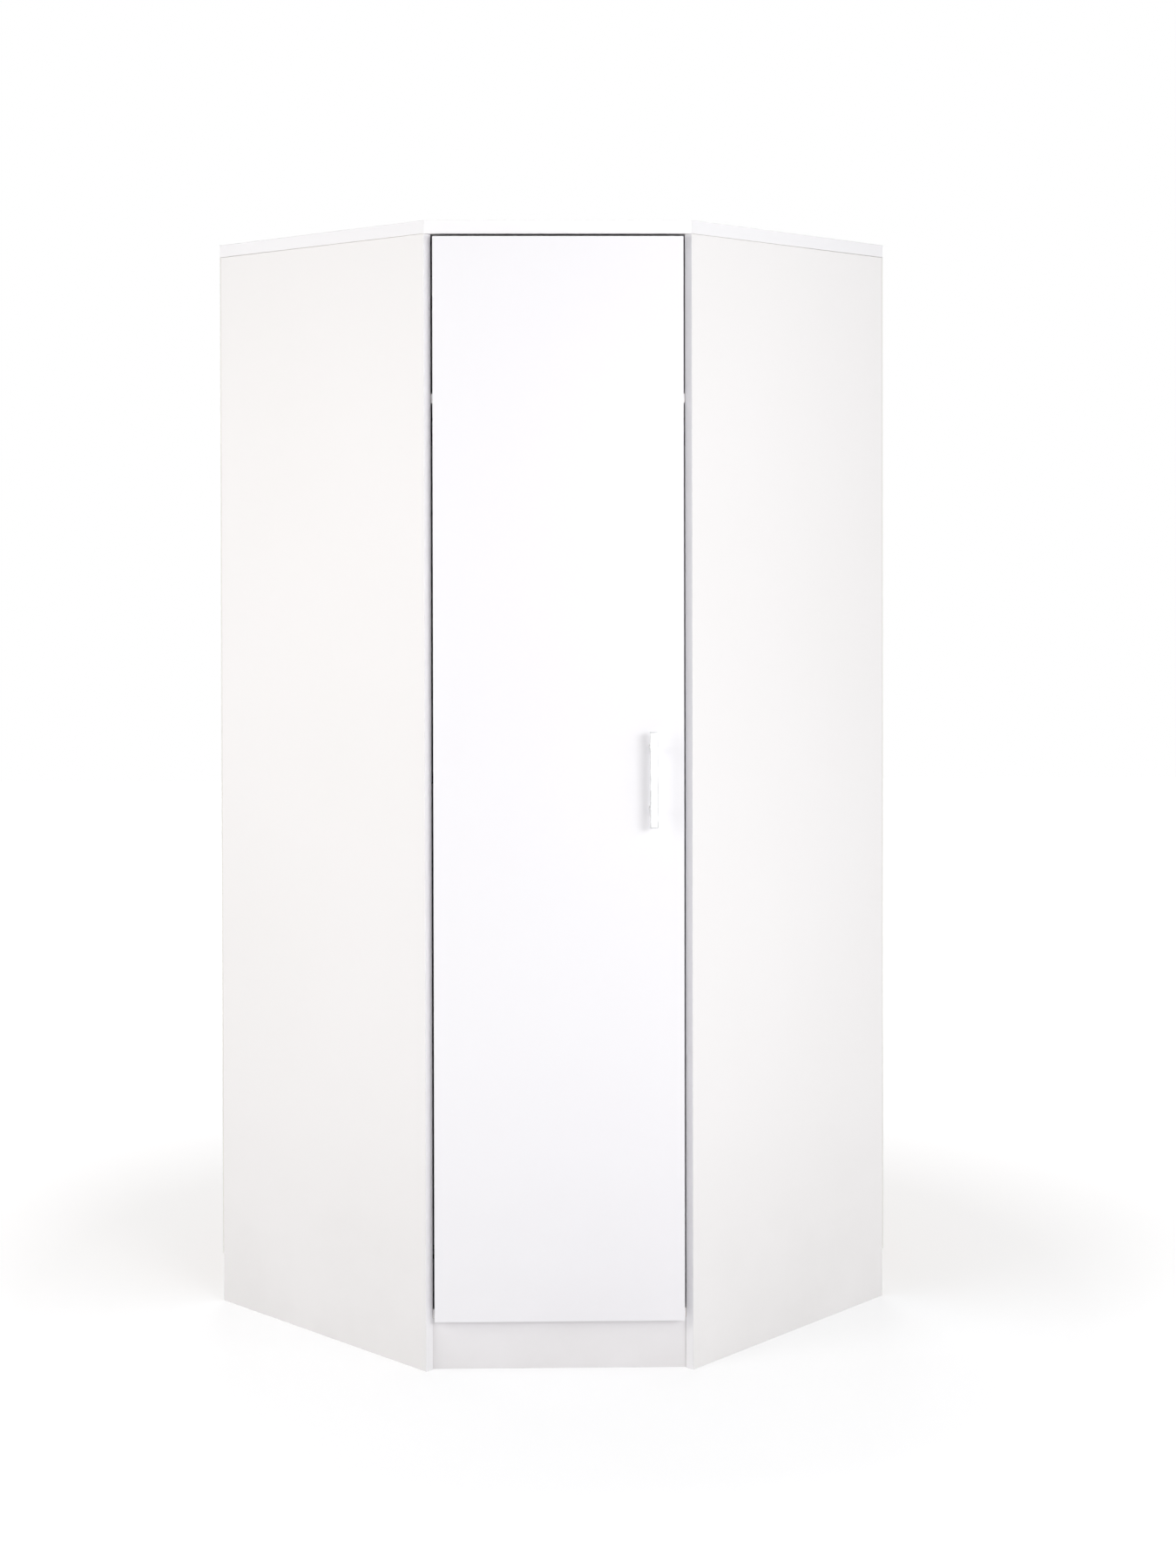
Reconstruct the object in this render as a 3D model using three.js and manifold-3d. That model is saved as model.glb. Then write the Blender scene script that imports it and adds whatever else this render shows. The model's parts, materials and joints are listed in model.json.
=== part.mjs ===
// A five-sided corner wardrobe with one door set across the corner between its two side panels.
// Lengths are in millimetres, +Z is up and the door looks towards -Y. In plan, a place on the
// left or right half is given inwards from a side panel's outer face and back from its front edge.

import * as THREE from 'three';
import { mergeVertices } from 'three/addons/utils/BufferGeometryUtils.js';
import Module from 'manifold-3d';

const wasm = await Module();
wasm.setup();

// Cabinet
const height = 1800;
const wallLength = 800;
const sideDepth = 504;
const boardThickness = 15;
const topThickness = 21;
const backThickness = 3;
const plinthHeight = 80;
const plinthSetback = 2;
const shelfBelowTop = 285;
const postWidth = 30;

// Clearances
const jointGap = 0.3;
const overrun = 2;

// Door
const doorSideGap = 2.9;
const doorTopGap = 4.5;
const doorBackGap = 3.5;
const bumperRadius = 5;
const bumperClearance = 0.6;
const bumperInset = 22;

// Handle
const handleWidth = 12;
const handleLength = 149;
const handleThickness = 9;
const handleProjection = 30;
const handleEdge = 0.8;
const handleSpacing = 96;
const handlePostWidth = 10;
const handleInset = 49;
const handleHeight = 929;
const handleScrewRadius = 2;
const handleScrewReach = 12;
const handleScrewHeadRadius = 4;
const handleScrewHeadHeight = 2.4;

// Hanging rail and its brackets
const railRadius = 12.5;
const railWall = 1.5;
const railBehindFront = 300;
const railBelowShelf = 46;
const railEndInset = 140;
const bracketWall = 4.2;
const bracketDepth = 12;
const bracketEnd = 3;
const bracketStem = 18;
const bracketFlange = 3;
const bracketFlangeWidth = 24;
const bracketFlangeLength = 64;
const bracketScrewInset = 8;

// Wood screws
const screwRadius = 1.9;
const screwLength = 13;
const screwHeadRadius = 3.6;
const screwHeadHeight = 2.2;

// Wall brackets
const wallBracketThickness = 2;
const wallBracketWidth = 40;
const wallBracketLeg = 36;
const wallBracketHole = 3;

// Hinges
const hingeEndInset = 100;
const pivotInset = 7;
const pinRadius = 1.1;
const pinLength = 16;
const pinClearance = 0.3;
const cupInset = 3;
const cupRadius = 17.2;
const cupClearance = 0.3;
const cupDepth = 12.2;
const cupWall = 0.6;
const cupFlange = 1;
const cupFlangeRim = 1.2;
const cupScrewSpacing = 45;
const cupScrewOffset = 9.5;
const cupEarRadius = 6;
const cupEarRim = 3;
const cupEarLength = 8;
const neckWidth = 9;
const neckSideClearance = 0.4;
const neckThickness = 1.8;
const neckReach = 8.5;
const neckBend = 4.5;
const knuckleRadius = 2.1;
const knuckleClearance = 0.5;
const armHeight = 15.5;
const armWidth = 18.8;
const armWall = 1.4;
const armFlange = 9.5;
const armStart = 2;
const armEnd = 66;
const armScrewInset = 10;
const plateThickness = 3;
const plateWidth = 16;
const plateBack = 37;
const plateFront = 27;
const plateEnd = 67;
const plateWingRadius = 7;
const plateScrewSpacing = 32;
const armScrewRadius = 2;
const armScrewLength = 9;
const armScrewHeadRadius = 4;
const armScrewHeadHeight = 2;

// Counts of flat sides on round forms
const fineSides = 24;
const roundSides = 16;
const screwSides = 8;
const bendSteps = 4;

// Shares of the size that each one follows
const wallBracketShare = 0.45;
const slopeShare = Math.SQRT1_2;

const left = -1;
const right = 1;
const quarterTurn = Math.PI / 2;
const wallAngle = Math.PI / 4;

// Plan sizes that follow from the walls and the boards
const frontHalf = (wallLength - sideDepth) * slopeShare;
const cornerDepth = (wallLength + sideDepth) * slopeShare;
const innerFace = boardThickness + jointGap;
const backFace = sideDepth - backThickness - jointGap;
const postOuter = wallLength - backThickness - jointGap;
const boardTop = height - topThickness - jointGap;
const shelfHeight = height - shelfBelowTop;
const shelfFront = innerFace * slopeShare;
const doorHalf = frontHalf - boardThickness * slopeShare - doorSideGap;
const doorBack = shelfFront - doorBackGap;
const doorFront = doorBack - boardThickness;
const doorTop = height - topThickness - doorTopGap;
const bumperHeight = doorBackGap - jointGap - bumperClearance;
const handleFront = doorFront - handleProjection;
const railHeight = shelfHeight - railBelowShelf;
const railHalf = frontHalf - innerFace * slopeShare * 2 + railBehindFront - railEndInset;
const bracketRadius = railRadius + jointGap + bracketWall;
const bracketScrewSpacing = bracketFlangeLength - bracketScrewInset * 2;
const pivotDepth = cupDepth - cupWall - knuckleClearance - knuckleRadius;
const cupEarHeight = cupDepth - pivotDepth + cupEarRim;
const armWeb = boardThickness + armHeight;
const armScrewBack = armEnd - armScrewInset;

const finishes = {
  melamine: { color: 0xf6f6f7, roughness: 0.42, metalness: 0 },
  hardboard: { color: 0xefeeec, roughness: 0.7, metalness: 0 },
  batten: { color: 0xd9c29a, roughness: 0.75, metalness: 0 },
  satinSteel: { color: 0xd8d9da, roughness: 0.32, metalness: 0.85 },
  nickel: { color: 0xb9babb, roughness: 0.3, metalness: 0.9 },
  zinc: { color: 0xa7abb0, roughness: 0.4, metalness: 0.85 },
  chrome: { color: 0xd5d7d9, roughness: 0.12, metalness: 1 },
  clearRubber: { color: 0xe4e6e6, roughness: 0.5, metalness: 0 },
};

// A named mesh with a material of its own.
function piece(name, geometry, finish) {
  const mesh = new THREE.Mesh(geometry, new THREE.MeshStandardMaterial(finish));
  mesh.name = name;
  return mesh;
}

// A plan point on one half of the cabinet.
function plan(side, inward, back) {
  return new THREE.Vector2(side * (frontHalf + (back - inward) * slopeShare), (inward + back) * slopeShare);
}

// A closed solid for the boolean library, with its shared corners merged.
function solidOf(geometry) {
  const bare = geometry.clone();
  bare.deleteAttribute('normal');
  bare.deleteAttribute('uv');
  const merged = mergeVertices(bare);
  return new wasm.Manifold(new wasm.Mesh({
    numProp: 3,
    vertProperties: merged.attributes.position.array,
    triVerts: merged.index.array,
  }));
}

// A flat-shaded geometry from a solid.
function geometryOf(solid) {
  const mesh = solid.getMesh();
  const indexed = new THREE.BufferGeometry();
  indexed.setAttribute('position', new THREE.BufferAttribute(mesh.vertProperties, mesh.numProp));
  indexed.setIndex(new THREE.BufferAttribute(mesh.triVerts, 1));
  const geometry = indexed.toNonIndexed();
  geometry.computeVertexNormals();
  return geometry;
}

function joined(...geometries) {
  return geometryOf(geometries.map(solidOf).reduce((whole, part) => whole.add(part)));
}

function cut(geometry, ...cutters) {
  return geometryOf(cutters.map(solidOf).reduce((whole, part) => whole.subtract(part), solidOf(geometry)));
}

function common(geometry, other) {
  return geometryOf(solidOf(geometry).intersect(solidOf(other)));
}

// A plan outline raised between two heights.
function raised(outline, low, high) {
  const geometry = new THREE.ExtrudeGeometry(new THREE.Shape(outline), {
    depth: high - low,
    bevelEnabled: false,
  });
  return geometry.translate(0, 0, low);
}

// A square-edged block between two corners, given in any order along X.
function block(x0, x1, y0, y1, z0, z1) {
  const geometry = new THREE.BoxGeometry(Math.abs(x1 - x0), y1 - y0, z1 - z0);
  return geometry.translate((x0 + x1) / 2, (y0 + y1) / 2, (z0 + z1) / 2);
}

// A geometry that stands along +Z is turned to a direction and moved to a point.
function aimed(geometry, point, direction) {
  const up = new THREE.Vector3(0, 0, 1);
  geometry.applyQuaternion(new THREE.Quaternion().setFromUnitVectors(up, direction));
  return geometry.translate(point.x, point.y, point.z);
}

// A round peg from a point along a direction.
function peg(radius, length, sides, point, direction) {
  const geometry = new THREE.CylinderGeometry(radius, radius, length, sides);
  geometry.rotateX(quarterTurn);
  geometry.translate(0, 0, length / 2);
  return aimed(geometry, point, direction);
}

// A round peg that is centred on a point.
function centredPeg(radius, length, sides, point, direction) {
  const start = point.clone().addScaledVector(direction, -length / 2);
  return peg(radius, length, sides, start, direction);
}

// A domed screw whose head sits on a point, with its outward direction.
function screw(headRadius, headHeight, shankRadius, length, point, direction) {
  const profile = [
    new THREE.Vector2(0, -length),
    new THREE.Vector2(shankRadius, shankRadius - length),
    new THREE.Vector2(shankRadius, 0),
    new THREE.Vector2(headRadius, 0),
    new THREE.Vector2(headRadius, headHeight / 2),
    new THREE.Vector2(headRadius / 2, headHeight),
    new THREE.Vector2(0, headHeight),
  ];
  const geometry = new THREE.LatheGeometry(profile, screwSides);
  geometry.rotateX(quarterTurn);
  return aimed(geometry, point, direction);
}

function woodScrew(point, direction) {
  return screw(screwHeadRadius, screwHeadHeight, screwRadius, screwLength, point, direction);
}

// The hole that a wood screw needs, sunk below a surface point.
function pilotHole(point, direction) {
  const start = point.clone().addScaledVector(direction, -screwLength);
  return peg(screwRadius + jointGap, screwLength + overrun, screwSides, start, direction);
}

const upwards = new THREE.Vector3(0, 0, 1);
const downwards = new THREE.Vector3(0, 0, -1);
const backwards = new THREE.Vector3(0, 1, 0);
const rightwards = new THREE.Vector3(1, 0, 0);

// The group that stands on a side panel's front edge: +Y runs back along the panel.
function wing(side) {
  const group = new THREE.Group();
  group.position.x = side * frontHalf;
  group.rotation.z = -side * wallAngle;
  return group;
}

// Hinges: each one has a height, and its places are shared by the door and the side panel.
const hinges = [
  { name: 'upper', z: doorTop - hingeEndInset },
  { name: 'middle', z: (doorTop + plinthHeight) / 2 },
  { name: 'lower', z: plinthHeight + hingeEndInset },
];

function plateScrewPoints(hinge) {
  const surface = innerFace + plateThickness;
  return [
    new THREE.Vector3(surface, plateBack, hinge.z + plateScrewSpacing / 2),
    new THREE.Vector3(surface, plateBack, hinge.z - plateScrewSpacing / 2),
  ];
}

// Boards

function sidePanel(side) {
  const panel = block(0, -side * boardThickness, 0, backFace, 0, boardTop);
  const holes = side === left ? hinges.flatMap(plateScrewPoints) : [];
  const drilled = holes.map((point) => pilotHole(point, rightwards));
  const name = side === left ? 'left_side_panel' : 'right_side_panel';
  return piece(name, drilled.length ? cut(panel, ...drilled) : panel, finishes.melamine);
}

// The back panels meet in the room's corner: the right one stops against the left one.
function backPanel(side) {
  const length = side === left ? wallLength : wallLength - backThickness - jointGap;
  const name = side === left ? 'left_back_panel' : 'right_back_panel';
  const low = sideDepth - backThickness;
  const panel = block(0, -side * length, low, sideDepth, plinthHeight, boardTop);
  return piece(name, panel, finishes.hardboard);
}

function cornerPost() {
  const post = block(postOuter - postWidth, postOuter, backFace - postWidth, backFace, 0, boardTop);
  return piece('back_corner_post', post, finishes.batten);
}

function wallBracketScrewPoint(side) {
  const spot = plan(side, wallLength * wallBracketShare, backFace - wallBracketLeg / 2);
  return new THREE.Vector3(spot.x, spot.y, boardTop - wallBracketThickness);
}

function topPanel() {
  const outline = [
    plan(left, 0, 0),
    plan(left, 0, sideDepth),
    plan(left, wallLength, sideDepth),
    plan(right, 0, sideDepth),
    plan(right, 0, 0),
  ];
  const holes = [left, right].map((side) => pilotHole(wallBracketScrewPoint(side), downwards));
  const board = raised(outline, height - topThickness, height);
  return piece('top_panel', cut(board, ...holes), finishes.melamine);
}

// The inner boards run from side to side and are notched round the corner post.
function shelfOutline() {
  const notch = postOuter - postWidth - jointGap;
  const notchBack = backFace - postWidth - jointGap;
  return [
    plan(left, innerFace, 0),
    plan(left, innerFace, backFace),
    plan(left, notch, backFace),
    plan(left, notch, notchBack),
    plan(right, notch, backFace),
    plan(right, innerFace, backFace),
    plan(right, innerFace, 0),
  ];
}

function bottomPanel() {
  const board = raised(shelfOutline(), plinthHeight, plinthHeight + boardThickness);
  return piece('bottom_panel', board, finishes.melamine);
}

function railScrewPoints(side) {
  const z = shelfHeight - jointGap - bracketFlange;
  const x = side * (railHalf - bracketDepth / 2);
  return [1, -1].map((end) => new THREE.Vector3(x, railBehindFront + (end * bracketScrewSpacing) / 2, z));
}

function hatShelf() {
  const board = raised(shelfOutline(), shelfHeight, shelfHeight + boardThickness);
  const points = [left, right].flatMap(railScrewPoints);
  const holes = points.map((point) => pilotHole(point, downwards));
  return piece('hat_shelf', cut(board, ...holes), finishes.melamine);
}

// The plinth's ends are cut to the slope of the side panels.
function plinthBoard() {
  const front = shelfFront + plinthSetback;
  const onSide = (side, y) => plan(side, innerFace, y / slopeShare - innerFace);
  const outline = [
    onSide(left, front),
    onSide(left, front + boardThickness),
    onSide(right, front + boardThickness),
    onSide(right, front),
  ];
  return piece('plinth_board', raised(outline, 0, plinthHeight - jointGap), finishes.melamine);
}

// Hanging rail

function hangingRail() {
  const inner = railRadius - railWall;
  const profile = [
    new THREE.Vector2(inner, -railHalf),
    new THREE.Vector2(railRadius, -railHalf),
    new THREE.Vector2(railRadius, railHalf),
    new THREE.Vector2(inner, railHalf),
    new THREE.Vector2(inner, -railHalf),
  ];
  const tube = new THREE.LatheGeometry(profile, roundSides);
  tube.rotateZ(-quarterTurn);
  tube.translate(0, railBehindFront, railHeight);
  return piece('hanging_rail', tube, finishes.chrome);
}

// A bracket hangs under the shelf and holds one end of the rail in a blind ring.
function railBracket(side) {
  const direction = rightwards.clone().multiplyScalar(side);
  const inside = new THREE.Vector3(side * (railHalf - bracketDepth), railBehindFront, railHeight);
  const mouth = inside.clone().addScaledVector(direction, -overrun);
  const length = bracketDepth + bracketEnd;
  const ring = peg(bracketRadius, length, roundSides, inside, direction);
  const bore = peg(railRadius + jointGap, overrun + bracketDepth + jointGap, roundSides, mouth, direction);
  const outer = side * (railHalf + bracketEnd);
  const under = shelfHeight - jointGap - bracketFlange;
  const y0 = railBehindFront - bracketStem / 2;
  const stem = block(inside.x, outer, y0, y0 + bracketStem, railHeight, under + bracketFlange);
  const middle = side * (railHalf - bracketDepth / 2);
  const f0 = railBehindFront - bracketFlangeLength / 2;
  const x0 = middle - bracketFlangeWidth / 2;
  const flange = block(
    x0, x0 + bracketFlangeWidth, f0, f0 + bracketFlangeLength, under, under + bracketFlange,
  );
  const holes = railScrewPoints(side).map((point) => clearHole(point, bracketFlange));
  const whole = cut(joined(ring, stem, flange), bore, ...holes);
  return piece(side === left ? 'left_rail_bracket' : 'right_rail_bracket', whole, finishes.nickel);
}

// A hole that lets a wood screw through a thin upright plate, drilled along Z.
function clearHole(point, thickness) {
  return centredPeg(screwRadius + jointGap, thickness * 2 + overrun * 2, screwSides, point, upwards);
}

function railScrews(side) {
  const sideName = side === left ? 'left' : 'right';
  return railScrewPoints(side).map((point, i) => {
    const seated = point.clone().addScaledVector(downwards, jointGap);
    return piece(`${sideName}_rail_screw_${i + 1}`, woodScrew(seated, downwards), finishes.zinc);
  });
}

// Brackets that tie the top panel to the wall

function wallBracket(side) {
  const centre = -side * wallLength * wallBracketShare;
  const x0 = centre - wallBracketWidth / 2;
  const x1 = centre + wallBracketWidth / 2;
  const y0 = backFace - wallBracketLeg;
  const low = boardTop - wallBracketThickness;
  const leg = block(x0, x1, y0, backFace, low, boardTop);
  const lug = block(x0, x1, backFace - wallBracketThickness, backFace, boardTop - wallBracketLeg, boardTop);
  const lugPoint = new THREE.Vector3(centre, backFace, boardTop - wallBracketLeg / 2);
  const lugHole = centredPeg(wallBracketHole, wallBracketLeg, screwSides, lugPoint, backwards);
  const legPoint = new THREE.Vector3(centre, backFace - wallBracketLeg / 2, low);
  const whole = cut(joined(leg, lug), lugHole, clearHole(legPoint, wallBracketThickness));
  return piece(side === left ? 'left_wall_bracket' : 'right_wall_bracket', whole, finishes.zinc);
}

function wallBracketScrew(side) {
  const point = wallBracketScrewPoint(side).addScaledVector(downwards, jointGap);
  const name = side === left ? 'left_wall_bracket_screw' : 'right_wall_bracket_screw';
  return piece(name, woodScrew(point, downwards), finishes.zinc);
}

// Hinge pieces on the side panel. X runs inwards from the panel's outer face.

// The outline of a strip that follows a line of points.
function strip(points, thickness) {
  const sides = [[], []];
  points.forEach((point, i) => {
    const before = point.clone().sub(points[Math.max(i - 1, 0)]).normalize();
    const after = points[Math.min(i + 1, points.length - 1)].clone().sub(point).normalize();
    const along = before.clone().add(after).normalize();
    const across = new THREE.Vector2(-along.y, along.x);
    const square = along.dot(i ? before : after);
    sides[0].push(point.clone().addScaledVector(across, thickness / 2 / square));
    sides[1].unshift(point.clone().addScaledVector(across, -thickness / 2 / square));
  });
  return [...sides[0], ...sides[1]];
}

// The neck leaves the pivot behind the door's edge, rises out of the cup and turns along the panel.
function neckPoints() {
  const pivot = new THREE.Vector2(frontHalf - doorHalf + pivotInset, doorBack - pivotDepth);
  const riser = pivot.x + neckReach + neckBend;
  const turn = armWeb / slopeShare - riser;
  const line = new THREE.Path();
  line.moveTo(pivot.x, pivot.y);
  line.lineTo(pivot.x + neckReach, pivot.y);
  line.absarc(pivot.x + neckReach, pivot.y + neckBend, neckBend, -quarterTurn, 0);
  line.lineTo(riser, turn);
  line.lineTo((armWeb - armStart - armWall) * slopeShare, (armWeb + armStart + armWall) * slopeShare);
  const points = line.getPoints(bendSteps);
  return points.map((p) => new THREE.Vector2((p.x + p.y) * slopeShare, (p.y - p.x) * slopeShare));
}

// The arm is a channel that sits over the plate's saddle, with the neck at its front.
function armGeometry(hinge) {
  const points = neckPoints();
  const low = hinge.z - neckWidth / 2;
  const neck = raised(strip(points, neckThickness), low, low + neckWidth);
  const pivot = new THREE.Vector3(points[0].x, points[0].y, low);
  const knuckle = peg(knuckleRadius, neckWidth, roundSides, pivot, upwards);
  const w = armWidth / 2;
  const top = armWeb + neckThickness / 2;
  const outer = block(top - armFlange, top, armStart, armEnd, hinge.z - w, hinge.z + w);
  const hollow = block(
    top - armFlange - overrun, top - armWall,
    armStart + armWall, armEnd + overrun, hinge.z - w + armWall, hinge.z + w - armWall,
  );
  const bore = peg(
    pinRadius + pinClearance, neckWidth + overrun * 2, screwSides,
    pivot.clone().addScaledVector(downwards, overrun), upwards,
  );
  const screwPoint = new THREE.Vector3(top, armScrewBack, hinge.z);
  const hole = centredPeg(armScrewRadius + jointGap, armWall * 2 + overrun, screwSides, screwPoint, rightwards);
  return cut(joined(neck, knuckle, cut(outer, hollow)), bore, hole);
}

// The mounting plate has a wing above and below for its screws, and a saddle for the arm.
function plateGeometry(hinge) {
  const w = plateWidth / 2;
  const base = block(
    innerFace, innerFace + plateThickness, plateFront, plateEnd, hinge.z - w, hinge.z + w,
  );
  const wings = block(
    innerFace, innerFace + plateThickness, plateBack - plateWingRadius, plateBack + plateWingRadius,
    hinge.z - plateScrewSpacing / 2, hinge.z + plateScrewSpacing / 2,
  );
  const saddleTop = armWeb + neckThickness / 2 - armWall - jointGap;
  const half = armWidth / 2 - armWall - jointGap;
  const saddle = block(
    innerFace, saddleTop, plateFront, armEnd - armWall, hinge.z - half, hinge.z + half,
  );
  const atPanel = plateScrewPoints(hinge).map((point) => point.clone().setX(innerFace));
  const ends = atPanel.map((p) => peg(plateWingRadius, plateThickness, roundSides, p, rightwards));
  const holes = atPanel.map((point) => {
    return centredPeg(screwRadius + jointGap, plateThickness * 2 + overrun * 2, screwSides, point, rightwards);
  });
  const depth = armScrewLength;
  const socketStart = new THREE.Vector3(saddleTop - depth, armScrewBack, hinge.z);
  const socket = peg(armScrewRadius + jointGap, depth + overrun, screwSides, socketStart, rightwards);
  return cut(joined(base, wings, saddle, ...ends), ...holes, socket);
}

function armScrew(hinge) {
  const surface = armWeb + neckThickness / 2 + jointGap;
  const point = new THREE.Vector3(surface, armScrewBack, hinge.z);
  return screw(armScrewHeadRadius, armScrewHeadHeight, armScrewRadius, armScrewLength, point, rightwards);
}

function sideHinge(hinge) {
  const screws = plateScrewPoints(hinge).map((point, i) => {
    const seated = point.clone().addScaledVector(rightwards, jointGap);
    return piece(`${hinge.name}_plate_screw_${i + 1}`, woodScrew(seated, rightwards), finishes.zinc);
  });
  return [
    piece(`${hinge.name}_hinge_arm`, armGeometry(hinge), finishes.nickel),
    piece(`${hinge.name}_hinge_plate`, plateGeometry(hinge), finishes.nickel),
    piece(`${hinge.name}_arm_screw`, armScrew(hinge), finishes.zinc),
    ...screws,
  ];
}

// Hinge pieces on the door. X runs from the door's hinge edge and Y forwards to back, 0 at its back.

const cupCentre = cupInset + cupRadius + cupClearance;

function cupScrewPoints(hinge) {
  const x = cupCentre + cupScrewOffset;
  const y = jointGap + cupFlange;
  return [
    new THREE.Vector3(x, y, hinge.z + cupScrewSpacing / 2),
    new THREE.Vector3(x, y, hinge.z - cupScrewSpacing / 2),
  ];
}

// Two lugs in the cup's hinge side hold the pin, and stay inside the cup's wall.
function cupLugs(hinge) {
  const bottom = new THREE.Vector3(cupCentre, -cupDepth, hinge.z);
  const inside = peg(cupRadius - cupWall / 2, cupDepth, fineSides, bottom, backwards);
  const x1 = pivotInset + knuckleRadius;
  const low = -cupDepth + cupWall / 2;
  const high = -cupDepth + cupEarHeight;
  const gap = neckWidth / 2 + neckSideClearance;
  return [1, -1].map((end) => {
    const z0 = end > 0 ? hinge.z + gap : hinge.z - gap - cupEarLength;
    return common(block(cupInset, x1, low, high, z0, z0 + cupEarLength), inside);
  });
}

function cupGeometry(hinge) {
  const bottom = new THREE.Vector3(cupCentre, -cupDepth, hinge.z);
  const floor = bottom.clone().addScaledVector(backwards, cupWall);
  const seat = new THREE.Vector3(cupCentre, jointGap, hinge.z);
  const body = peg(cupRadius, cupDepth + jointGap + cupFlange, fineSides, bottom, backwards);
  const rim = peg(cupRadius + cupFlangeRim, cupFlange, fineSides, seat, backwards);
  const x = cupCentre + cupScrewOffset;
  const bar = block(
    x - cupEarRadius, x + cupEarRadius, jointGap, jointGap + cupFlange,
    hinge.z - cupScrewSpacing / 2, hinge.z + cupScrewSpacing / 2,
  );
  const atDoor = cupScrewPoints(hinge).map((point) => point.clone().setY(jointGap));
  const ends = atDoor.map((point) => peg(cupEarRadius, cupFlange, roundSides, point, backwards));
  const cavity = peg(cupRadius - cupWall, cupDepth + overrun * 2, fineSides, floor, backwards);
  const shell = cut(joined(body, rim, bar, ...ends), cavity);
  const pinPoint = new THREE.Vector3(pivotInset, -pivotDepth, hinge.z);
  const pinHole = centredPeg(pinRadius + jointGap, pinLength + jointGap * 2, screwSides, pinPoint, upwards);
  const holes = atDoor.map((point) => {
    return centredPeg(screwRadius + jointGap, cupFlange * 2 + overrun * 2, screwSides, point, backwards);
  });
  return cut(joined(shell, ...cupLugs(hinge)), pinHole, ...holes);
}

function hingePin(hinge) {
  const point = new THREE.Vector3(pivotInset, -pivotDepth, hinge.z);
  return centredPeg(pinRadius, pinLength, screwSides, point, upwards);
}

function doorHinge(hinge) {
  const screws = cupScrewPoints(hinge).map((point, i) => {
    const seated = point.clone().addScaledVector(backwards, jointGap);
    return piece(`${hinge.name}_cup_screw_${i + 1}`, woodScrew(seated, backwards), finishes.zinc);
  });
  return [
    piece(`${hinge.name}_hinge_cup`, cupGeometry(hinge), finishes.nickel),
    piece(`${hinge.name}_hinge_pin`, hingePin(hinge), finishes.zinc),
    ...screws,
  ];
}

// Door

const handleX = doorHalf * 2 - handleInset;
const handlePoints = [1, -1].map((end) => {
  return new THREE.Vector3(handleX, 0, handleHeight + (end * handleSpacing) / 2);
});

function doorPanel() {
  const board = block(0, doorHalf * 2, -boardThickness, 0, plinthHeight, doorTop);
  const cups = hinges.map((hinge) => {
    const bottom = new THREE.Vector3(cupCentre, -cupDepth - cupClearance, hinge.z);
    const depth = cupDepth + cupClearance + overrun;
    return peg(cupRadius + cupClearance, depth, fineSides, bottom, backwards);
  });
  const pilots = hinges.flatMap(cupScrewPoints).map((point) => pilotHole(point, backwards));
  const bolts = handlePoints.map((point) => {
    const middle = point.clone().setY(-boardThickness / 2);
    const length = boardThickness + overrun * 2;
    return centredPeg(handleScrewRadius + jointGap, length, screwSides, middle, backwards);
  });
  return piece('door_panel', cut(board, ...cups, ...pilots, ...bolts), finishes.melamine);
}

// The handle is one square bar on two short posts, with softened long edges.
function handleBar() {
  const foot = jointGap;
  const back = handleProjection - handleThickness;
  const end = handleLength / 2;
  const outer = (handleSpacing + handlePostWidth) / 2;
  const inner = (handleSpacing - handlePostWidth) / 2;
  const e = handleEdge;
  const halfOutline = [
    [inner + e, back + e],
    [inner + e, foot + e],
    [outer - e, foot + e],
    [outer - e, back + e],
    [end - e, back + e],
    [end - e, handleProjection - e],
  ];
  const points = [
    ...halfOutline.map(([z, y]) => new THREE.Vector2(z, y)),
    ...halfOutline.map(([z, y]) => new THREE.Vector2(-z, y)).reverse(),
  ];
  const bar = new THREE.ExtrudeGeometry(new THREE.Shape(points), {
    depth: handleWidth - e * 2,
    bevelThickness: e,
    bevelSize: e,
    bevelSegments: 1,
  });
  // The outline's first axis becomes the handle's height, and its second axis points forwards.
  bar.translate(0, 0, e - handleWidth / 2);
  bar.applyMatrix4(new THREE.Matrix4().makeBasis(upwards, backwards.clone().negate(), rightwards));
  bar.translate(handleX, -boardThickness, handleHeight);
  const depth = jointGap + handleScrewReach;
  const sockets = handlePoints.map((point) => {
    const start = point.clone().setY(-boardThickness - depth);
    return peg(handleScrewRadius + jointGap, depth + overrun, screwSides, start, backwards);
  });
  return piece('handle_bar', cut(bar, ...sockets), finishes.satinSteel);
}

function handleScrews() {
  return handlePoints.map((point, i) => {
    const seated = point.clone().setY(jointGap);
    const geometry = screw(
      handleScrewHeadRadius, handleScrewHeadHeight, handleScrewRadius,
      boardThickness + handleScrewReach, seated, backwards,
    );
    return piece(`handle_screw_${i + 1}`, geometry, finishes.zinc);
  });
}

// Soft buttons behind the door's free edge meet the fronts of the hat shelf and the bottom panel.
function bumpers() {
  const places = [
    ['upper_bumper', shelfHeight + boardThickness / 2],
    ['lower_bumper', plinthHeight + boardThickness / 2],
  ];
  return places.map(([name, z]) => {
    const profile = [
      new THREE.Vector2(0, 0),
      new THREE.Vector2(bumperRadius, 0),
      new THREE.Vector2(bumperRadius, bumperHeight / 2),
      new THREE.Vector2(bumperRadius / 2, bumperHeight),
      new THREE.Vector2(0, bumperHeight),
    ];
    const dome = new THREE.LatheGeometry(profile, roundSides);
    dome.translate(doorHalf * 2 - bumperInset, jointGap, z);
    return piece(name, dome, finishes.clearRubber);
  });
}

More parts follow.
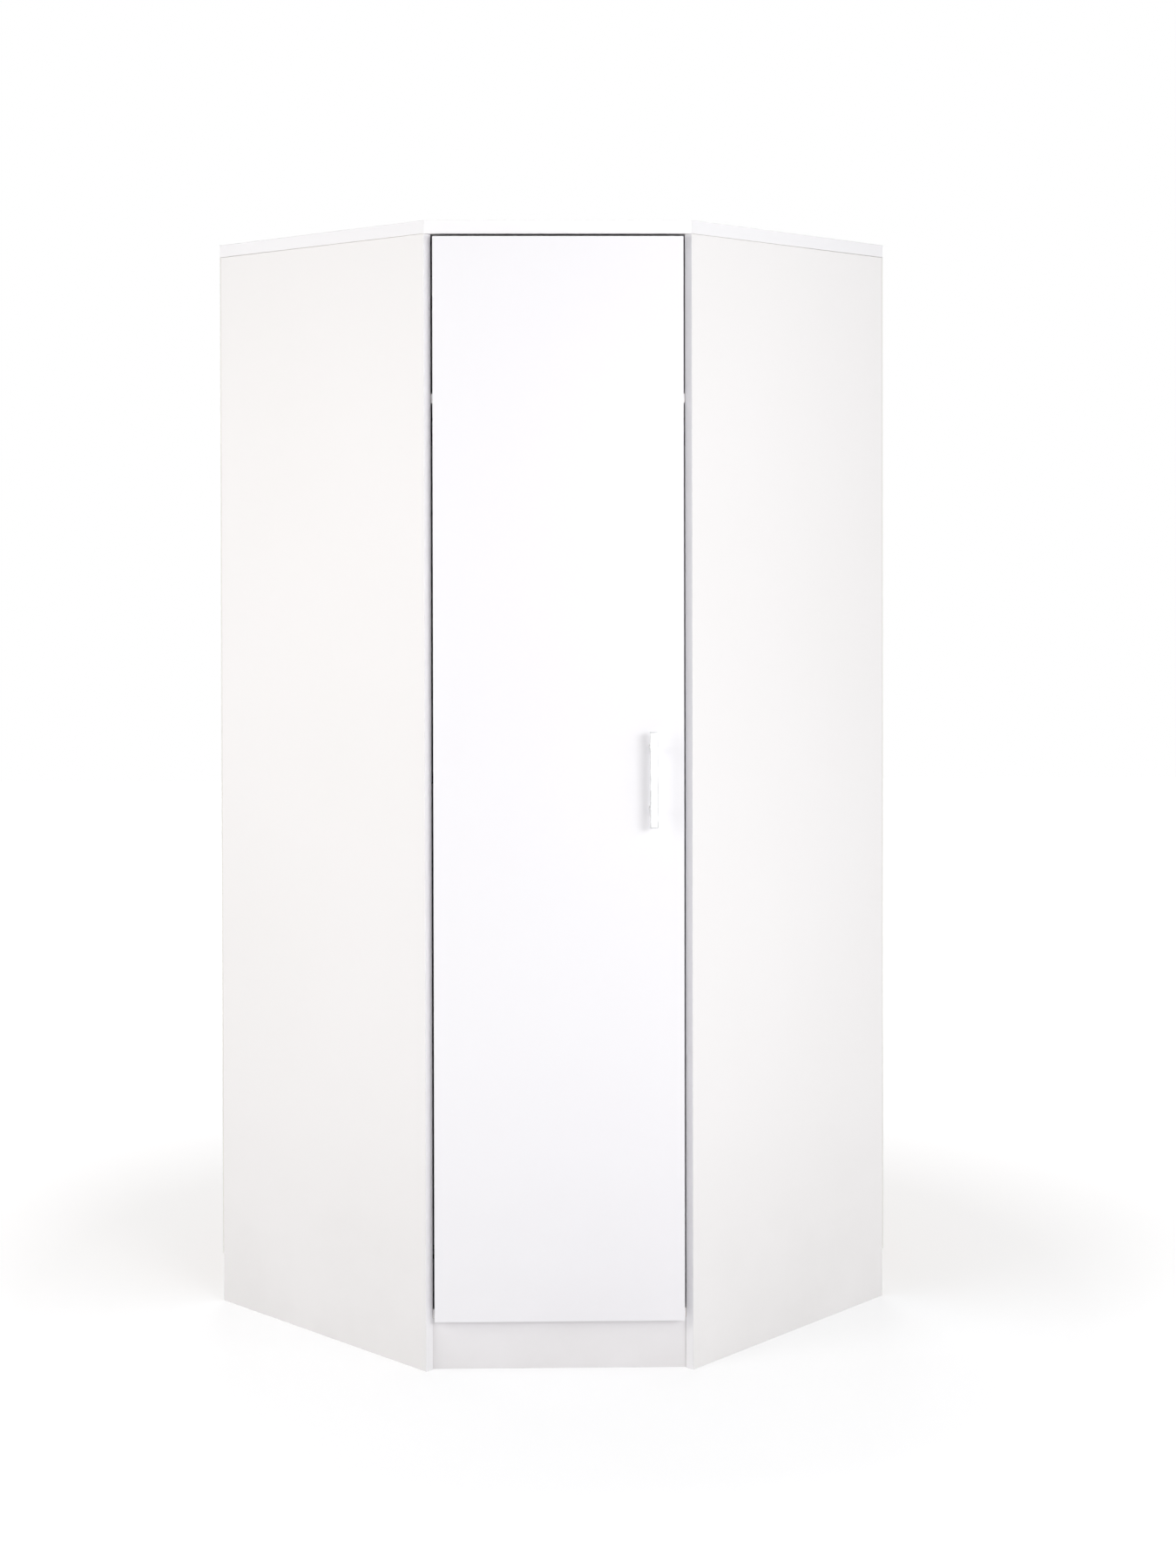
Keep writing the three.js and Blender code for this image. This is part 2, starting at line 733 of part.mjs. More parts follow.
function door() {
  const group = new THREE.Group();
  group.position.set(-doorHalf, doorBack, 0);
  group.add(doorPanel(), handleBar(), ...handleScrews(), ...bumpers(), ...hinges.flatMap(doorHinge));
  return group;
}

const leftWing = wing(left);
leftWing.add(
  sidePanel(left),
  backPanel(left),
  cornerPost(),
  wallBracket(left),
  ...hinges.flatMap(sideHinge),
);

const rightWing = wing(right);
rightWing.add(sidePanel(right), backPanel(right), wallBracket(right));

const wardrobe = new THREE.Group();
wardrobe.add(leftWing, rightWing, topPanel(), bottomPanel(), hatShelf(), plinthBoard());
wardrobe.add(hangingRail(), railBracket(left), railBracket(right), ...railScrews(left), ...railScrews(right));
wardrobe.add(wallBracketScrew(left), wallBracketScrew(right), door());

// The origin lies on the floor, midway between the handle's front and the room's corner.
wardrobe.position.y = -(handleFront + cornerDepth) / 2;

export default wardrobe;
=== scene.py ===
"""The looks of a five-sided corner wardrobe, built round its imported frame.

Lengths are in metres, +Z is up and the door looks towards -Y. Places are read from the frame, so each
piece sits where the solid that it stands for sits.
"""

import json
import logging
import math
from collections.abc import Callable, Iterable, Sequence
from dataclasses import dataclass, replace
from enum import Enum, IntEnum

import bmesh
import bpy
from bpy.types import Material, Mesh, Node, NodeSocket, NodeTree, Object, World
from mathutils import Matrix, Vector

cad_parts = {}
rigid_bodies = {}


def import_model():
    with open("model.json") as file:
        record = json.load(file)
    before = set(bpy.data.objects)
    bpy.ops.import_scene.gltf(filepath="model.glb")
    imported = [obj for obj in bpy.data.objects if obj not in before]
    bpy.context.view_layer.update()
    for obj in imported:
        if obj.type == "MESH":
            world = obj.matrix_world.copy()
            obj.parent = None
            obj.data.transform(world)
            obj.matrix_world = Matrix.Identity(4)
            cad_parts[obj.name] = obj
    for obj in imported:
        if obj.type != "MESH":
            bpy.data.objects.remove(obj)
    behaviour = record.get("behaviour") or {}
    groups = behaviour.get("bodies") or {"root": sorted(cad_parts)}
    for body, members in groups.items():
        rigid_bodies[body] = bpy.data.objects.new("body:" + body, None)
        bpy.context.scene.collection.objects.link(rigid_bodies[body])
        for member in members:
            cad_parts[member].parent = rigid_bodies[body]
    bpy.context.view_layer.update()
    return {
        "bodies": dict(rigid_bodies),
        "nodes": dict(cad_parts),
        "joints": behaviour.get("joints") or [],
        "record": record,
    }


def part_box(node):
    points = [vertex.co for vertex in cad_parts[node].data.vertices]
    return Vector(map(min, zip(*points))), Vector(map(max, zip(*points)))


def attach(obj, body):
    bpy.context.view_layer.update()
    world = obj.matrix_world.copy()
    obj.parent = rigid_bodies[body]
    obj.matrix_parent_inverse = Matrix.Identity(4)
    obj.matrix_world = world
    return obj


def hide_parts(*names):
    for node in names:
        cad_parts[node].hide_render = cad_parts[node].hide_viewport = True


log = logging.getLogger("corner_wardrobe")

MM = 0.001
SLOPE = math.sqrt(0.5)
QUARTER = math.pi / 2
WALL_ANGLE = math.pi / 4
JOINT_GAP = 0.3 * MM
OVERRUN = 2 * MM
MERGE_DISTANCE = 0.01 * MM
FLAT_ANGLE = math.radians(0.5)
SHARP_ANGLE = math.radians(30)
ROUND_SIDES = 48
HOLE_SIDES = 24
KNUCKLE_SIDES = 32
FACING = 0.99
TONE_SPAN = (0.3, 0.7)
WEAR_AND_SHADE_LAYER = "edge_wear"
AIM_LAYER = "aim"
FLOAT = "NodeSocketFloat"
WHITE = (1.0, 1.0, 1.0, 1.0)
UP = Vector((0, 0, 1))
DOWN = Vector((0, 0, -1))
BACK = Vector((0, 1, 0))
FRONT = Vector((0, -1, 0))
AXES_ON = Matrix(((0, 0, 1, 0), (1, 0, 0, 0), (0, 1, 0, 0), (0, 0, 0, 1)))
Outline = Sequence[tuple[float, float]]
Triple = tuple[float, float, float]
Seats = Sequence[tuple[Vector, Vector]]
Sockets = dict[str, tuple[str, object]]
Feeds = dict[str | int, object]


class Side(Enum):
    """The halves of the cabinet, as the sign of X."""

    LEFT = -1
    RIGHT = 1

    @property
    def word(self) -> str:
        """The side's name in lower case."""
        return self.name.lower()


class Body(Enum):
    """The bodies that pieces ride on."""

    CARCASS = "carcass"
    DOOR = "door"


class Slot(Enum):
    """The record's material slots."""

    BOARD = "white_board"
    HARDBOARD = "white_hardboard"
    PINE = "pine"
    HANDLE = "satin_handle"
    NICKEL = "nickel_plate"
    ZINC = "zinc_screw"
    CHROME = "chrome_tube"
    BUMPER = "clear_bumper"


class Skin(IntEnum):
    """The kinds of surface on a board, as the numbers of its materials."""

    FACE = 0
    BAND = 1
    RAW = 2


class Pattern(Enum):
    """The surface patterns, each one a shader node group with the same sockets."""

    MELAMINE = "melamine_texture"
    CHIPS = "chipboard_flakes"
    SCREEN = "hardboard_screen"
    GRAIN = "pine_grain"
    BRUSHED = "brushed_lines"
    PLATED = "plated_speckle"


def linear(colour: int) -> tuple[float, float, float, float]:
    """Turns a colour written as 0xRRGGBB into linear light.

    Args:
        colour: The colour as it looks on a screen.

    Returns:
        Red, green, blue and a full alpha.
    """
    knee, slope, offset, power = 0.04045, 12.92, 0.055, 2.4
    parts = [(colour >> shift & 0xFF) / 0xFF for shift in (16, 8, 0)]
    lit = [c / slope if c <= knee else ((c + offset) / (1 + offset)) ** power for c in parts]
    return (*lit, 1.0)


def spot(place: Sequence[float], angle: float = 0.0, axis: str = "Z") -> Matrix:
    """A frame at a place, turned about one of its axes."""
    return Matrix.Translation(place) @ Matrix.Rotation(angle, 4, axis)


class Wiring:
    """Adds the nodes of one tree and joins them."""

    def __init__(self, tree: NodeTree) -> None:
        """Keeps the tree that the nodes go into."""
        self.tree = tree

    @classmethod
    def of_surface(cls, owner: Material | World) -> "Wiring":
        """Empties the node tree of a material or a world.

        Args:
            owner: The material or the world.

        Returns:
            The wiring of the empty tree.
        """
        owner.use_nodes = True
        owner.node_tree.nodes.clear()
        return cls(owner.node_tree)

    @classmethod
    def group(cls, name: str, kind: str, inputs: Sockets, outputs: dict[str, str]) -> "Wiring":
        """Makes an empty node group with named sockets.

        Args:
            name: The group's name.
            kind: The kind of tree.
            inputs: Each input's socket kind and value, or None where it has no value.
            outputs: Each output's socket kind.

        Returns:
            The wiring of the group, with its input and output nodes in place.
        """
        wiring = cls(bpy.data.node_groups.new(name, kind))
        face = wiring.tree.interface
        for label, (socket, value) in inputs.items():
            made = face.new_socket(name=label, in_out="INPUT", socket_type=socket)
            if value is not None:
                made.default_value = value
        for label, socket in outputs.items():
            face.new_socket(name=label, in_out="OUTPUT", socket_type=socket)
        wiring.source = wiring.add("NodeGroupInput").outputs
        wiring.sink = wiring.add("NodeGroupOutput").inputs
        return wiring

    def add(self, kind: str, feeds: Feeds | None = None, **settings: object) -> Node:
        """Adds a node.

        Args:
            kind: The node's type.
            feeds: What each input takes, a socket to join or a value.
            **settings: The node's own settings.

        Returns:
            The new node.
        """
        node = self.tree.nodes.new(kind)
        for name, value in settings.items():
            setattr(node, name, value)
        for key, value in (feeds or {}).items():
            self.feed(node.inputs[key], value)
        return node

    def out(
        self, kind: str, feeds: Feeds | None = None, end: int | str = 0, **settings: object
    ) -> NodeSocket:
        """Adds a node and returns one of its outputs."""
        return self.add(kind, feeds, **settings).outputs[end]

    def feed(self, socket: NodeSocket, value: object) -> None:
        """Joins a socket to the input, or sets the input's value.

        Args:
            socket: The input.
            value: The socket to join, or the value.
        """
        if isinstance(value, NodeSocket):
            self.tree.links.new(value, socket)
        else:
            socket.default_value = value

    def maths(self, operation: str, *terms: object, clamp: bool = False) -> NodeSocket:
        """Adds a Math node and returns its result."""
        return self.out("ShaderNodeMath", dict(enumerate(terms)), operation=operation, use_clamp=clamp)

    def mixed(self, first: object, second: object, share: float) -> NodeSocket:
        """Adds a share of the first value to the rest of the second."""
        return self.maths("MULTIPLY_ADD", first, share, self.maths("MULTIPLY", second, 1 - share))

    def ranged(self, value: object, low: float, high: float, start: object, end: object) -> NodeSocket:
        """Adds a Map Range node from one span to another and returns its result."""
        return self.out("ShaderNodeMapRange", {0: value, 1: low, 2: high, 3: start, 4: end})

    def blend(self, factor: object, first: object, second: object) -> NodeSocket:
        """Adds a Mix node for two colours and returns its result."""
        return self.out("ShaderNodeMix", {0: factor, 6: first, 7: second}, 2, data_type="RGBA")

    def noise(self, vector: object, scale: object, detail: float) -> NodeSocket:
        """Adds a Noise Texture node and returns its factor."""
        return self.out("ShaderNodeTexNoise", {"Vector": vector, "Scale": scale, "Detail": detail}, "Fac")

    def place(self) -> NodeSocket:
        """The place on the piece, in its Object coordinates."""
        return self.out("ShaderNodeTexCoord", end="Object")


class Groups:
    """The shader node groups that the finishes share, each one built once."""

    SIZES = {
        "Vector": ("NodeSocketVector", None),
        "Broad Scale": (FLOAT, 2.0),
        "Fine Scale": (FLOAT, 500.0),
    }
    BREAKS = (0.4, 0.7, 0.35, 1.0)
    CLOUDS = (0.35, 0.75, 0.3, 1.0)
    CLOUD_SCALE = 7.0

    @classmethod
    def pattern(cls, pattern: Pattern) -> NodeTree:
        """The group of one pattern, which gives a tone and a height."""
        build = getattr(cls, f"_{pattern.name.lower()}")
        return cls._shared(pattern.value, cls.SIZES, ("Tone", "Height"), build)

    @classmethod
    def wear(cls) -> NodeTree:
        """The group that masks broken marks along softened edges: scuffs on the boards, painted edge shade
        on the handle.
        """
        inputs = {"Amount": (FLOAT, 0.5), "Scale": (FLOAT, 60.0)}
        return cls._shared("edge_wear", inputs, ("Mask",), cls._worn_edges)

    @classmethod
    def soil(cls) -> NodeTree:
        """The group that masks a faint cloudy darkening near the floor."""
        inputs = {"Amount": (FLOAT, 0.1), "Reach": (FLOAT, 0.3)}
        return cls._shared("floor_soil", inputs, ("Mask",), cls._floor_dust)

    @staticmethod
    def _shared(
        name: str, inputs: Sockets, results: Sequence[str], build: Callable[[Wiring], Sequence[NodeSocket]]
    ) -> NodeTree:
        """Finds a group by its name, or builds it.

        Args:
            name: The group's name.
            inputs: Its inputs.
            results: The names of its outputs.
            build: What makes the outputs' sockets inside it.

        Returns:
            The group.
        """
        if name in bpy.data.node_groups:
            return bpy.data.node_groups[name]
        w = Wiring.group(name, "ShaderNodeTree", inputs, dict.fromkeys(results, FLOAT))
        for label, socket in zip(results, build(w)):
            w.feed(w.sink[label], socket)
        return w.tree

    @staticmethod
    def _noises(w: Wiring, broad: float, fine: float, share: float) -> Sequence[NodeSocket]:
        """Broad and fine noise mixed into a tone, over the fine one as the height.

        Args:
            w: The group's wiring.
            broad: The detail of the broad noise.
            fine: The detail of the fine noise.
            share: The fine noise's share of the tone.

        Returns:
            The tone and the height.
        """
        wide = w.noise(w.source["Vector"], w.source["Broad Scale"], broad)
        close = w.noise(w.source["Vector"], w.source["Fine Scale"], fine)
        return w.mixed(close, wide, share), close

    @classmethod
    def _melamine(cls, w: Wiring) -> Sequence[NodeSocket]:
        """Broad faint clouds, under a fine orange-peel relief."""
        return cls._noises(w, broad=3.0, fine=2.0, share=0.0)

    @classmethod
    def _brushed(cls, w: Wiring) -> Sequence[NodeSocket]:
        """Fine lines drawn out along the stretched axis."""
        return cls._noises(w, broad=1.0, fine=2.0, share=0.6)

    @classmethod
    def _plated(cls, w: Wiring) -> Sequence[NodeSocket]:
        """Soft clouds and a fine speckle, as on barrel plating."""
        return cls._noises(w, broad=2.0, fine=2.0, share=0.4)

    @staticmethod
    def _chips(w: Wiring) -> Sequence[NodeSocket]:
        """Pressed wood flakes of mixed tones, with dark pits between them.

        Args:
            w: The group's wiring.

        Returns:
            The tone and the height.
        """
        feeds = {"Vector": w.source["Vector"], "Scale": w.source["Fine Scale"]}
        cells = w.add("ShaderNodeTexVoronoi", feeds)
        shade = w.out("ShaderNodeSeparateColor", {0: cells.outputs["Color"]})
        dust = w.noise(w.source["Vector"], w.source["Broad Scale"], detail=4.0)
        return w.mixed(shade, dust, share=0.6), w.maths("SUBTRACT", 1.0, cells.outputs["Distance"])

    @staticmethod
    def _screen(w: Wiring) -> Sequence[NodeSocket]:
        """The crossed lines that a press screen leaves on the rough side of hardboard.

        Args:
            w: The group's wiring.

        Returns:
            The tone and the height.
        """
        feeds = {"Vector": w.source["Vector"], "Scale": w.source["Fine Scale"], "Distortion": 0.4}
        rows = [w.out("ShaderNodeTexWave", feeds, "Fac", bands_direction=axis) for axis in "XZ"]
        fibres = w.noise(w.source["Vector"], w.source["Broad Scale"], detail=6.0)
        return fibres, w.maths("MULTIPLY", *rows)

    @staticmethod
    def _grain(w: Wiring) -> Sequence[NodeSocket]:
        """Growth rings that run along a batten, with fine pores.

        Args:
            w: The group's wiring.

        Returns:
            The tone and the height.
        """
        feeds = {"Vector": w.source["Vector"], "Scale": w.source["Broad Scale"]}
        rings = w.out("ShaderNodeTexWave", {**feeds, "Distortion": 6.0, "Detail": 3.0}, "Fac")
        pores = w.noise(w.source["Vector"], w.source["Fine Scale"], detail=3.0)
        return w.mixed(rings, pores, share=0.7), pores

    @staticmethod
    def _mask(w: Wiring, first: NodeSocket, second: NodeSocket) -> Sequence[NodeSocket]:
        """The product of two fields and the group's Amount."""
        both = w.maths("MULTIPLY", first, second)
        return [w.maths("MULTIPLY", both, w.source["Amount"], clamp=True)]

    @classmethod
    def _worn_edges(cls, w: Wiring) -> Sequence[NodeSocket]:
        """Scuffs and painted edge shade on the marked edges, broken up by noise.

        Args:
            w: The group's wiring.

        Returns:
            The mask.
        """
        edge = w.out("ShaderNodeAttribute", end="Fac", attribute_name=WEAR_AND_SHADE_LAYER)
        breaks = w.noise(w.place(), w.source["Scale"], detail=4.0)
        return cls._mask(w, edge, w.ranged(breaks, *cls.BREAKS))

    @classmethod
    def _floor_dust(cls, w: Wiring) -> Sequence[NodeSocket]:
        """A cloudy darkening that fades with the height above the floor.

        Args:
            w: The group's wiring.

        Returns:
            The mask.
        """
        height = w.out("ShaderNodeSeparateXYZ", {0: w.place()}, "Z")
        fade = w.ranged(w.maths("DIVIDE", height, w.source["Reach"]), 0.0, 1.0, 1.0, 0.0)
        clouds = w.noise(w.place(), cls.CLOUD_SCALE, detail=5.0)
        return cls._mask(w, fade, w.ranged(clouds, *cls.CLOUDS))


@dataclass(frozen=True)
class Finish:
    """A surface finish: its colours, gloss and relief, and the pattern that varies them."""

    name: str
    slot: Slot
    pattern: Pattern
    colour: int
    tint: int
    # The colour of edge scuffs and of the low darkening; on the handle it is painted edge shade.
    worn: int
    roughness: float
    relief: float
    broad_scale: float = 2.0
    fine_scale: float = 700.0
    tint_share: float = 0.5
    roughness_swing: float = 0.05
    metallic: float = 0.0
    wear: float = 0.4
    soil: float = 0.0
    soil_reach: float = 0.35
    turn: float = 0.0
    stretch: Triple = (1.0, 1.0, 1.0)
    transmission: float = 0.0
    index: float = 1.5

    def material(self) -> Material:
        """Makes the finish's material, the first time that it is asked for.

        Returns:
            The material.
        """
        if self.name in bpy.data.materials:
            return bpy.data.materials[self.name]
        made = bpy.data.materials.new(self.name)
        made.diffuse_color = linear(self.colour)
        w = Wiring.of_surface(made)
        turn = w.out("ShaderNodeMapping", {"Vector": w.place(), "Rotation": (0.0, 0.0, self.turn)})
        place = w.out("ShaderNodeMapping", {"Vector": turn, "Scale": self.stretch})
        feeds = {"Vector": place, "Broad Scale": self.broad_scale, "Fine Scale": self.fine_scale}
        pattern = w.add("ShaderNodeGroup", feeds, node_tree=Groups.pattern(self.pattern))
        tone, height = pattern.outputs
        swing = (self.roughness - self.roughness_swing, self.roughness + self.roughness_swing)
        shader = w.add("ShaderNodeBsdfPrincipled", {
            "Base Color": self._colour(w, tone),
            "Roughness": w.ranged(tone, *TONE_SPAN, *swing),
            "Metallic": self.metallic,
            "Transmission Weight": self.transmission,
            "IOR": self.index,
            "Normal": w.out("ShaderNodeBump", {"Height": height, "Distance": self.relief}),
        })
        w.add("ShaderNodeOutputMaterial", {"Surface": shader.outputs["BSDF"]})
        return made

    def _colour(self, w: Wiring, tone: NodeSocket) -> NodeSocket:
        """Tints the colour by the pattern's tone, under edge scuffs, painted edge shade and a darkening
        near the floor.

        Args:
            w: The material's wiring.
            tone: The pattern's tone.

        Returns:
            The colour.
        """
        share = w.ranged(tone, *TONE_SPAN, 0.0, self.tint_share)
        colour = w.blend(share, linear(self.colour), linear(self.tint))
        mask = w.out("ShaderNodeGroup", {"Amount": self.wear}, node_tree=Groups.wear())
        colour = w.blend(mask, colour, linear(self.worn))
        if self.soil:
            feeds = {"Amount": self.soil, "Reach": self.soil_reach}
            mask = w.out("ShaderNodeGroup", feeds, node_tree=Groups.soil())
            colour = w.blend(mask, colour, linear(self.worn))
        return colour


WHITE_FACE = Finish(
    "white_melamine_face", Slot.BOARD, Pattern.MELAMINE, 0xFBF9F9, 0xF7F5F4, 0xD9D7D5, 0.42, 0.012 * MM,
    soil=0.25,
)
DOOR_FACE = replace(
    WHITE_FACE, name="white_door_face", colour=0xF6F5F8, tint=0xF3F1F5, worn=0xD9D7D8, roughness=0.4,
    soil=0.2,
)
# The plinth's face is greyer than the other boards' faces: painted shade for the shadow under the door,
# which stands proud of it.
PLINTH_FACE_PAINTED_SHADE = replace(
    WHITE_FACE, name="plinth_melamine_face", colour=0xF1EFF1, tint=0xECEAEB, worn=0xD0CDCB, roughness=0.45,
    soil=0.35, soil_reach=0.12,
)
WHITE_BAND = Finish(
    "white_edge_band", Slot.BOARD, Pattern.MELAMINE, 0xFDFCFE, 0xFAF9FB, 0xB9B6B4, 0.34, 0.006 * MM,
    broad_scale=5.0, fine_scale=1200.0, wear=0.55, soil=0.2,
)
# The door's edge band is greyer than the other bands, so that less light bounces into the grooves beside
# the door: painted shade for those grooves.
DOOR_BAND_GROOVE_SHADE = replace(
    WHITE_BAND, name="white_door_edge_band", colour=0xEAE9EE, tint=0xE5E4E9, worn=0xB4B2B5
)
RAW_CHIPBOARD = Finish(
    "raw_chipboard_edge", Slot.BOARD, Pattern.CHIPS, 0xCDB186, 0x94744A, 0xE0CCA4, 0.85, 0.25 * MM,
    broad_scale=120.0, fine_scale=420.0, tint_share=0.9,
)
WHITE_HARDBOARD = Finish(
    "white_hardboard_inside", Slot.HARDBOARD, Pattern.MELAMINE, 0xF2F1EE, 0xEBE9E4, 0xCFC8BC,
    0.6, 0.03 * MM, broad_scale=3.0, fine_scale=420.0,
)
BROWN_HARDBOARD = Finish(
    "brown_hardboard_outside", Slot.HARDBOARD, Pattern.SCREEN, 0xA88158, 0x8C6840, 0xC4A67E,
    0.82, 0.12 * MM, broad_scale=75.0, fine_scale=190.0,
)
PINE_BATTEN = Finish(
    "planed_pine_batten", Slot.PINE, Pattern.GRAIN, 0xE3CBA2, 0xC8A26C, 0xEAD9B8, 0.7, 0.08 * MM,
    broad_scale=1.6, fine_scale=22.0, tint_share=0.75, turn=WALL_ANGLE, stretch=(34.0, 34.0, 1.3),
)
# The handle's dark edge colour, laid heavily on its wide rounded edges, is painted shade: it draws dark
# lines where the bar's edges turn from the light.
SATIN_METAL = Finish(
    "satin_handle_metal", Slot.HANDLE, Pattern.BRUSHED, 0xF6F7F7, 0xEDEEEF, 0x7E8083, 0.36, 0.004 * MM,
    broad_scale=60.0, fine_scale=2600.0, metallic=0.85, wear=0.9, stretch=(1.0, 1.0, 0.03),
)
NICKEL = Finish(
    "nickel_plated_steel", Slot.NICKEL, Pattern.PLATED, 0xC9C8C4, 0xB3B2AE, 0xE4E3DF, 0.26, 0.006 * MM,
    broad_scale=40.0, fine_scale=900.0, metallic=0.95,
)
ZINC = Finish(
    "bright_zinc_plate", Slot.ZINC, Pattern.PLATED, 0xC3C7CC, 0xA3A8AF, 0xDDE0E3, 0.36, 0.01 * MM,
    broad_scale=90.0, fine_scale=1500.0, metallic=0.9,
)
CHROME = Finish(
    "chromed_tube", Slot.CHROME, Pattern.PLATED, 0xDDDFE1, 0xCED1D4, 0xEDEEEF, 0.1, 0.002 * MM,
    broad_scale=12.0, metallic=1.0, roughness_swing=0.03,
)
CAP_PLASTIC = Finish(
    "white_cap_plastic", Slot.BOARD, Pattern.MELAMINE, 0xF1F1F0, 0xE9E9E7, 0xD0D0CE, 0.5, 0.01 * MM,
    broad_scale=80.0, fine_scale=1500.0,
)
CLEAR_BUMPER = Finish(
    "clear_bumper_rubber", Slot.BUMPER, Pattern.PLATED, 0xEEF0F0, 0xE2E5E5, 0xF7F8F8, 0.3, 0.01 * MM,
    broad_scale=200.0, fine_scale=1500.0, transmission=0.8, index=1.45,
)


class Solid:
    """A closed shape that is joined, cut and moved before it becomes a piece."""

    def __init__(self, shape: bmesh.types.BMesh) -> None:
        """Keeps the shape."""
        self.shape = shape

    @classmethod
    def of_node(cls, node: str) -> "Solid":
        """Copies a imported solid, with its doubled points merged.

        Args:
            node: The solid's node.

        Returns:
            The shape.
        """
        shape = bmesh.new()
        shape.from_mesh(bpy.data.objects[node].data)
        return cls(shape)._merged()

    @classmethod
    def prism(cls, outline: Outline, low: float, high: float) -> "Solid":
        """Raises an outline in the XY plane.

        Args:
            outline: The corners in order, either way round.
            low: The height of its floor.
            high: The height of its top.

        Returns:
            The closed prism.
        """
        shape = bmesh.new()
        floor = [shape.verts.new((x, y, low)) for x, y in outline]
        roof = [shape.verts.new((x, y, high)) for x, y in outline]
        shape.faces.new(floor)
        shape.faces.new(roof)
        for i, corner in enumerate(floor):
            shape.faces.new((floor[i - 1], corner, roof[i], roof[i - 1]))
        return cls(shape)._outwards()

    @classmethod
    def turned(cls, profile: Outline, sides: int = ROUND_SIDES) -> "Solid":
        """Turns a profile round the Z axis.

        Args:
            profile: Radius and height of each point. It starts and ends on the axis, or closes on itself.
            sides: The number of flat sides round the axis.

        Returns:
            The closed turned shape.
        """
        shape = bmesh.new()
        rings = []
        for radius, height in profile:
            angles = [i * math.tau / sides for i in range(sides if radius else 1)]
            points = [(radius * math.cos(a), radius * math.sin(a), height) for a in angles]
            rings.append([shape.verts.new(point) for point in points])
        pairs = list(zip(rings, rings[1:]))
        if profile[0][0] and profile[-1][0]:
            pairs.append((rings[-1], rings[0]))
        for lower, upper in pairs:
            for i in range(sides):
                quad = ((lower, i - 1), (lower, i), (upper, i), (upper, i - 1))
                shape.faces.new(list(dict.fromkeys(ring[j % len(ring)] for ring, j in quad)))
        return cls(shape)._outwards()

    @classmethod
    def peg(cls, radius: float, low: float, high: float, sides: int = ROUND_SIDES) -> "Solid":
        """A round peg along Z between two heights."""
        return cls.turned([(0, low), (radius, low), (radius, high), (0, high)], sides)

    @classmethod
    def drills(cls, radius: float, low: float, high: float, *spots: Matrix) -> list["Solid"]:
        """Pegs of one size that bore a hole at each frame."""
        return [cls.peg(radius, low, high, HOLE_SIDES).moved(place) for place in spots]

    @classmethod
    def block(cls, low: Sequence[float], high: Sequence[float]) -> "Solid":
        """A square-edged block between two corners."""
        outline = [(low[0], low[1]), (high[0], low[1]), (high[0], high[1]), (low[0], high[1])]
        return cls.prism(outline, low[2], high[2])

    def _merged(self) -> "Solid":
        """Merges doubled points and dissolves the lines inside flat faces.

        Returns:
            This shape.
        """
        shape = self.shape
        bmesh.ops.remove_doubles(shape, verts=shape.verts, dist=MERGE_DISTANCE)
        bmesh.ops.dissolve_limit(shape, angle_limit=FLAT_ANGLE, verts=shape.verts, edges=shape.edges)
        return self

    def _outwards(self) -> "Solid":
        """Turns every face outwards."""
        bmesh.ops.recalc_face_normals(self.shape, faces=self.shape.faces)
        return self

    def moved(self, place: Matrix) -> "Solid":
        """Copies the shape to another place.

        Args:
            place: How the copy moves.

        Returns:
            The copy.
        """
        copy = self.shape.copy()
        bmesh.ops.transform(copy, matrix=place, verts=copy.verts)
        return Solid(copy)

    def _as_object(self) -> Object:
        """Holds the shape in the scene for a boolean.

        Returns:
            The object.
        """
        mesh = bpy.data.meshes.new("blank")
        self.shape.to_mesh(mesh)
        return linked("blank", mesh)

    def _combined(self, others: Iterable["Solid"], operation: str) -> "Solid":
        """Joins or cuts this shape with others, one after another.

        Args:
            others: The other shapes.
            operation: UNION, DIFFERENCE or INTERSECT.

        Returns:
            The new shape.
        """
        base = self._as_object()
        tools = [other._as_object() for other in others]
        for tool in tools:
            modifier = base.modifiers.new("combine", "BOOLEAN")
            modifier.operation, modifier.solver, modifier.object = operation, "EXACT", tool
        evaluated = base.evaluated_get(bpy.context.evaluated_depsgraph_get())
        shape = bmesh.new()
        shape.from_mesh(evaluated.to_mesh())
        evaluated.to_mesh_clear()
        for used in [base, *tools]:
            bpy.data.meshes.remove(used.data)
        return Solid(shape)._merged()

    def joined(self, *others: "Solid") -> "Solid":
        """This shape with others added."""
        return self._combined(others, "UNION")

    def cut(self, *others: "Solid") -> "Solid":
        """This shape with others taken away."""
        return self._combined(others, "DIFFERENCE")

    def common(self, other: "Solid") -> "Solid":
        """What this shape shares with another."""
        return self._combined([other], "INTERSECT")

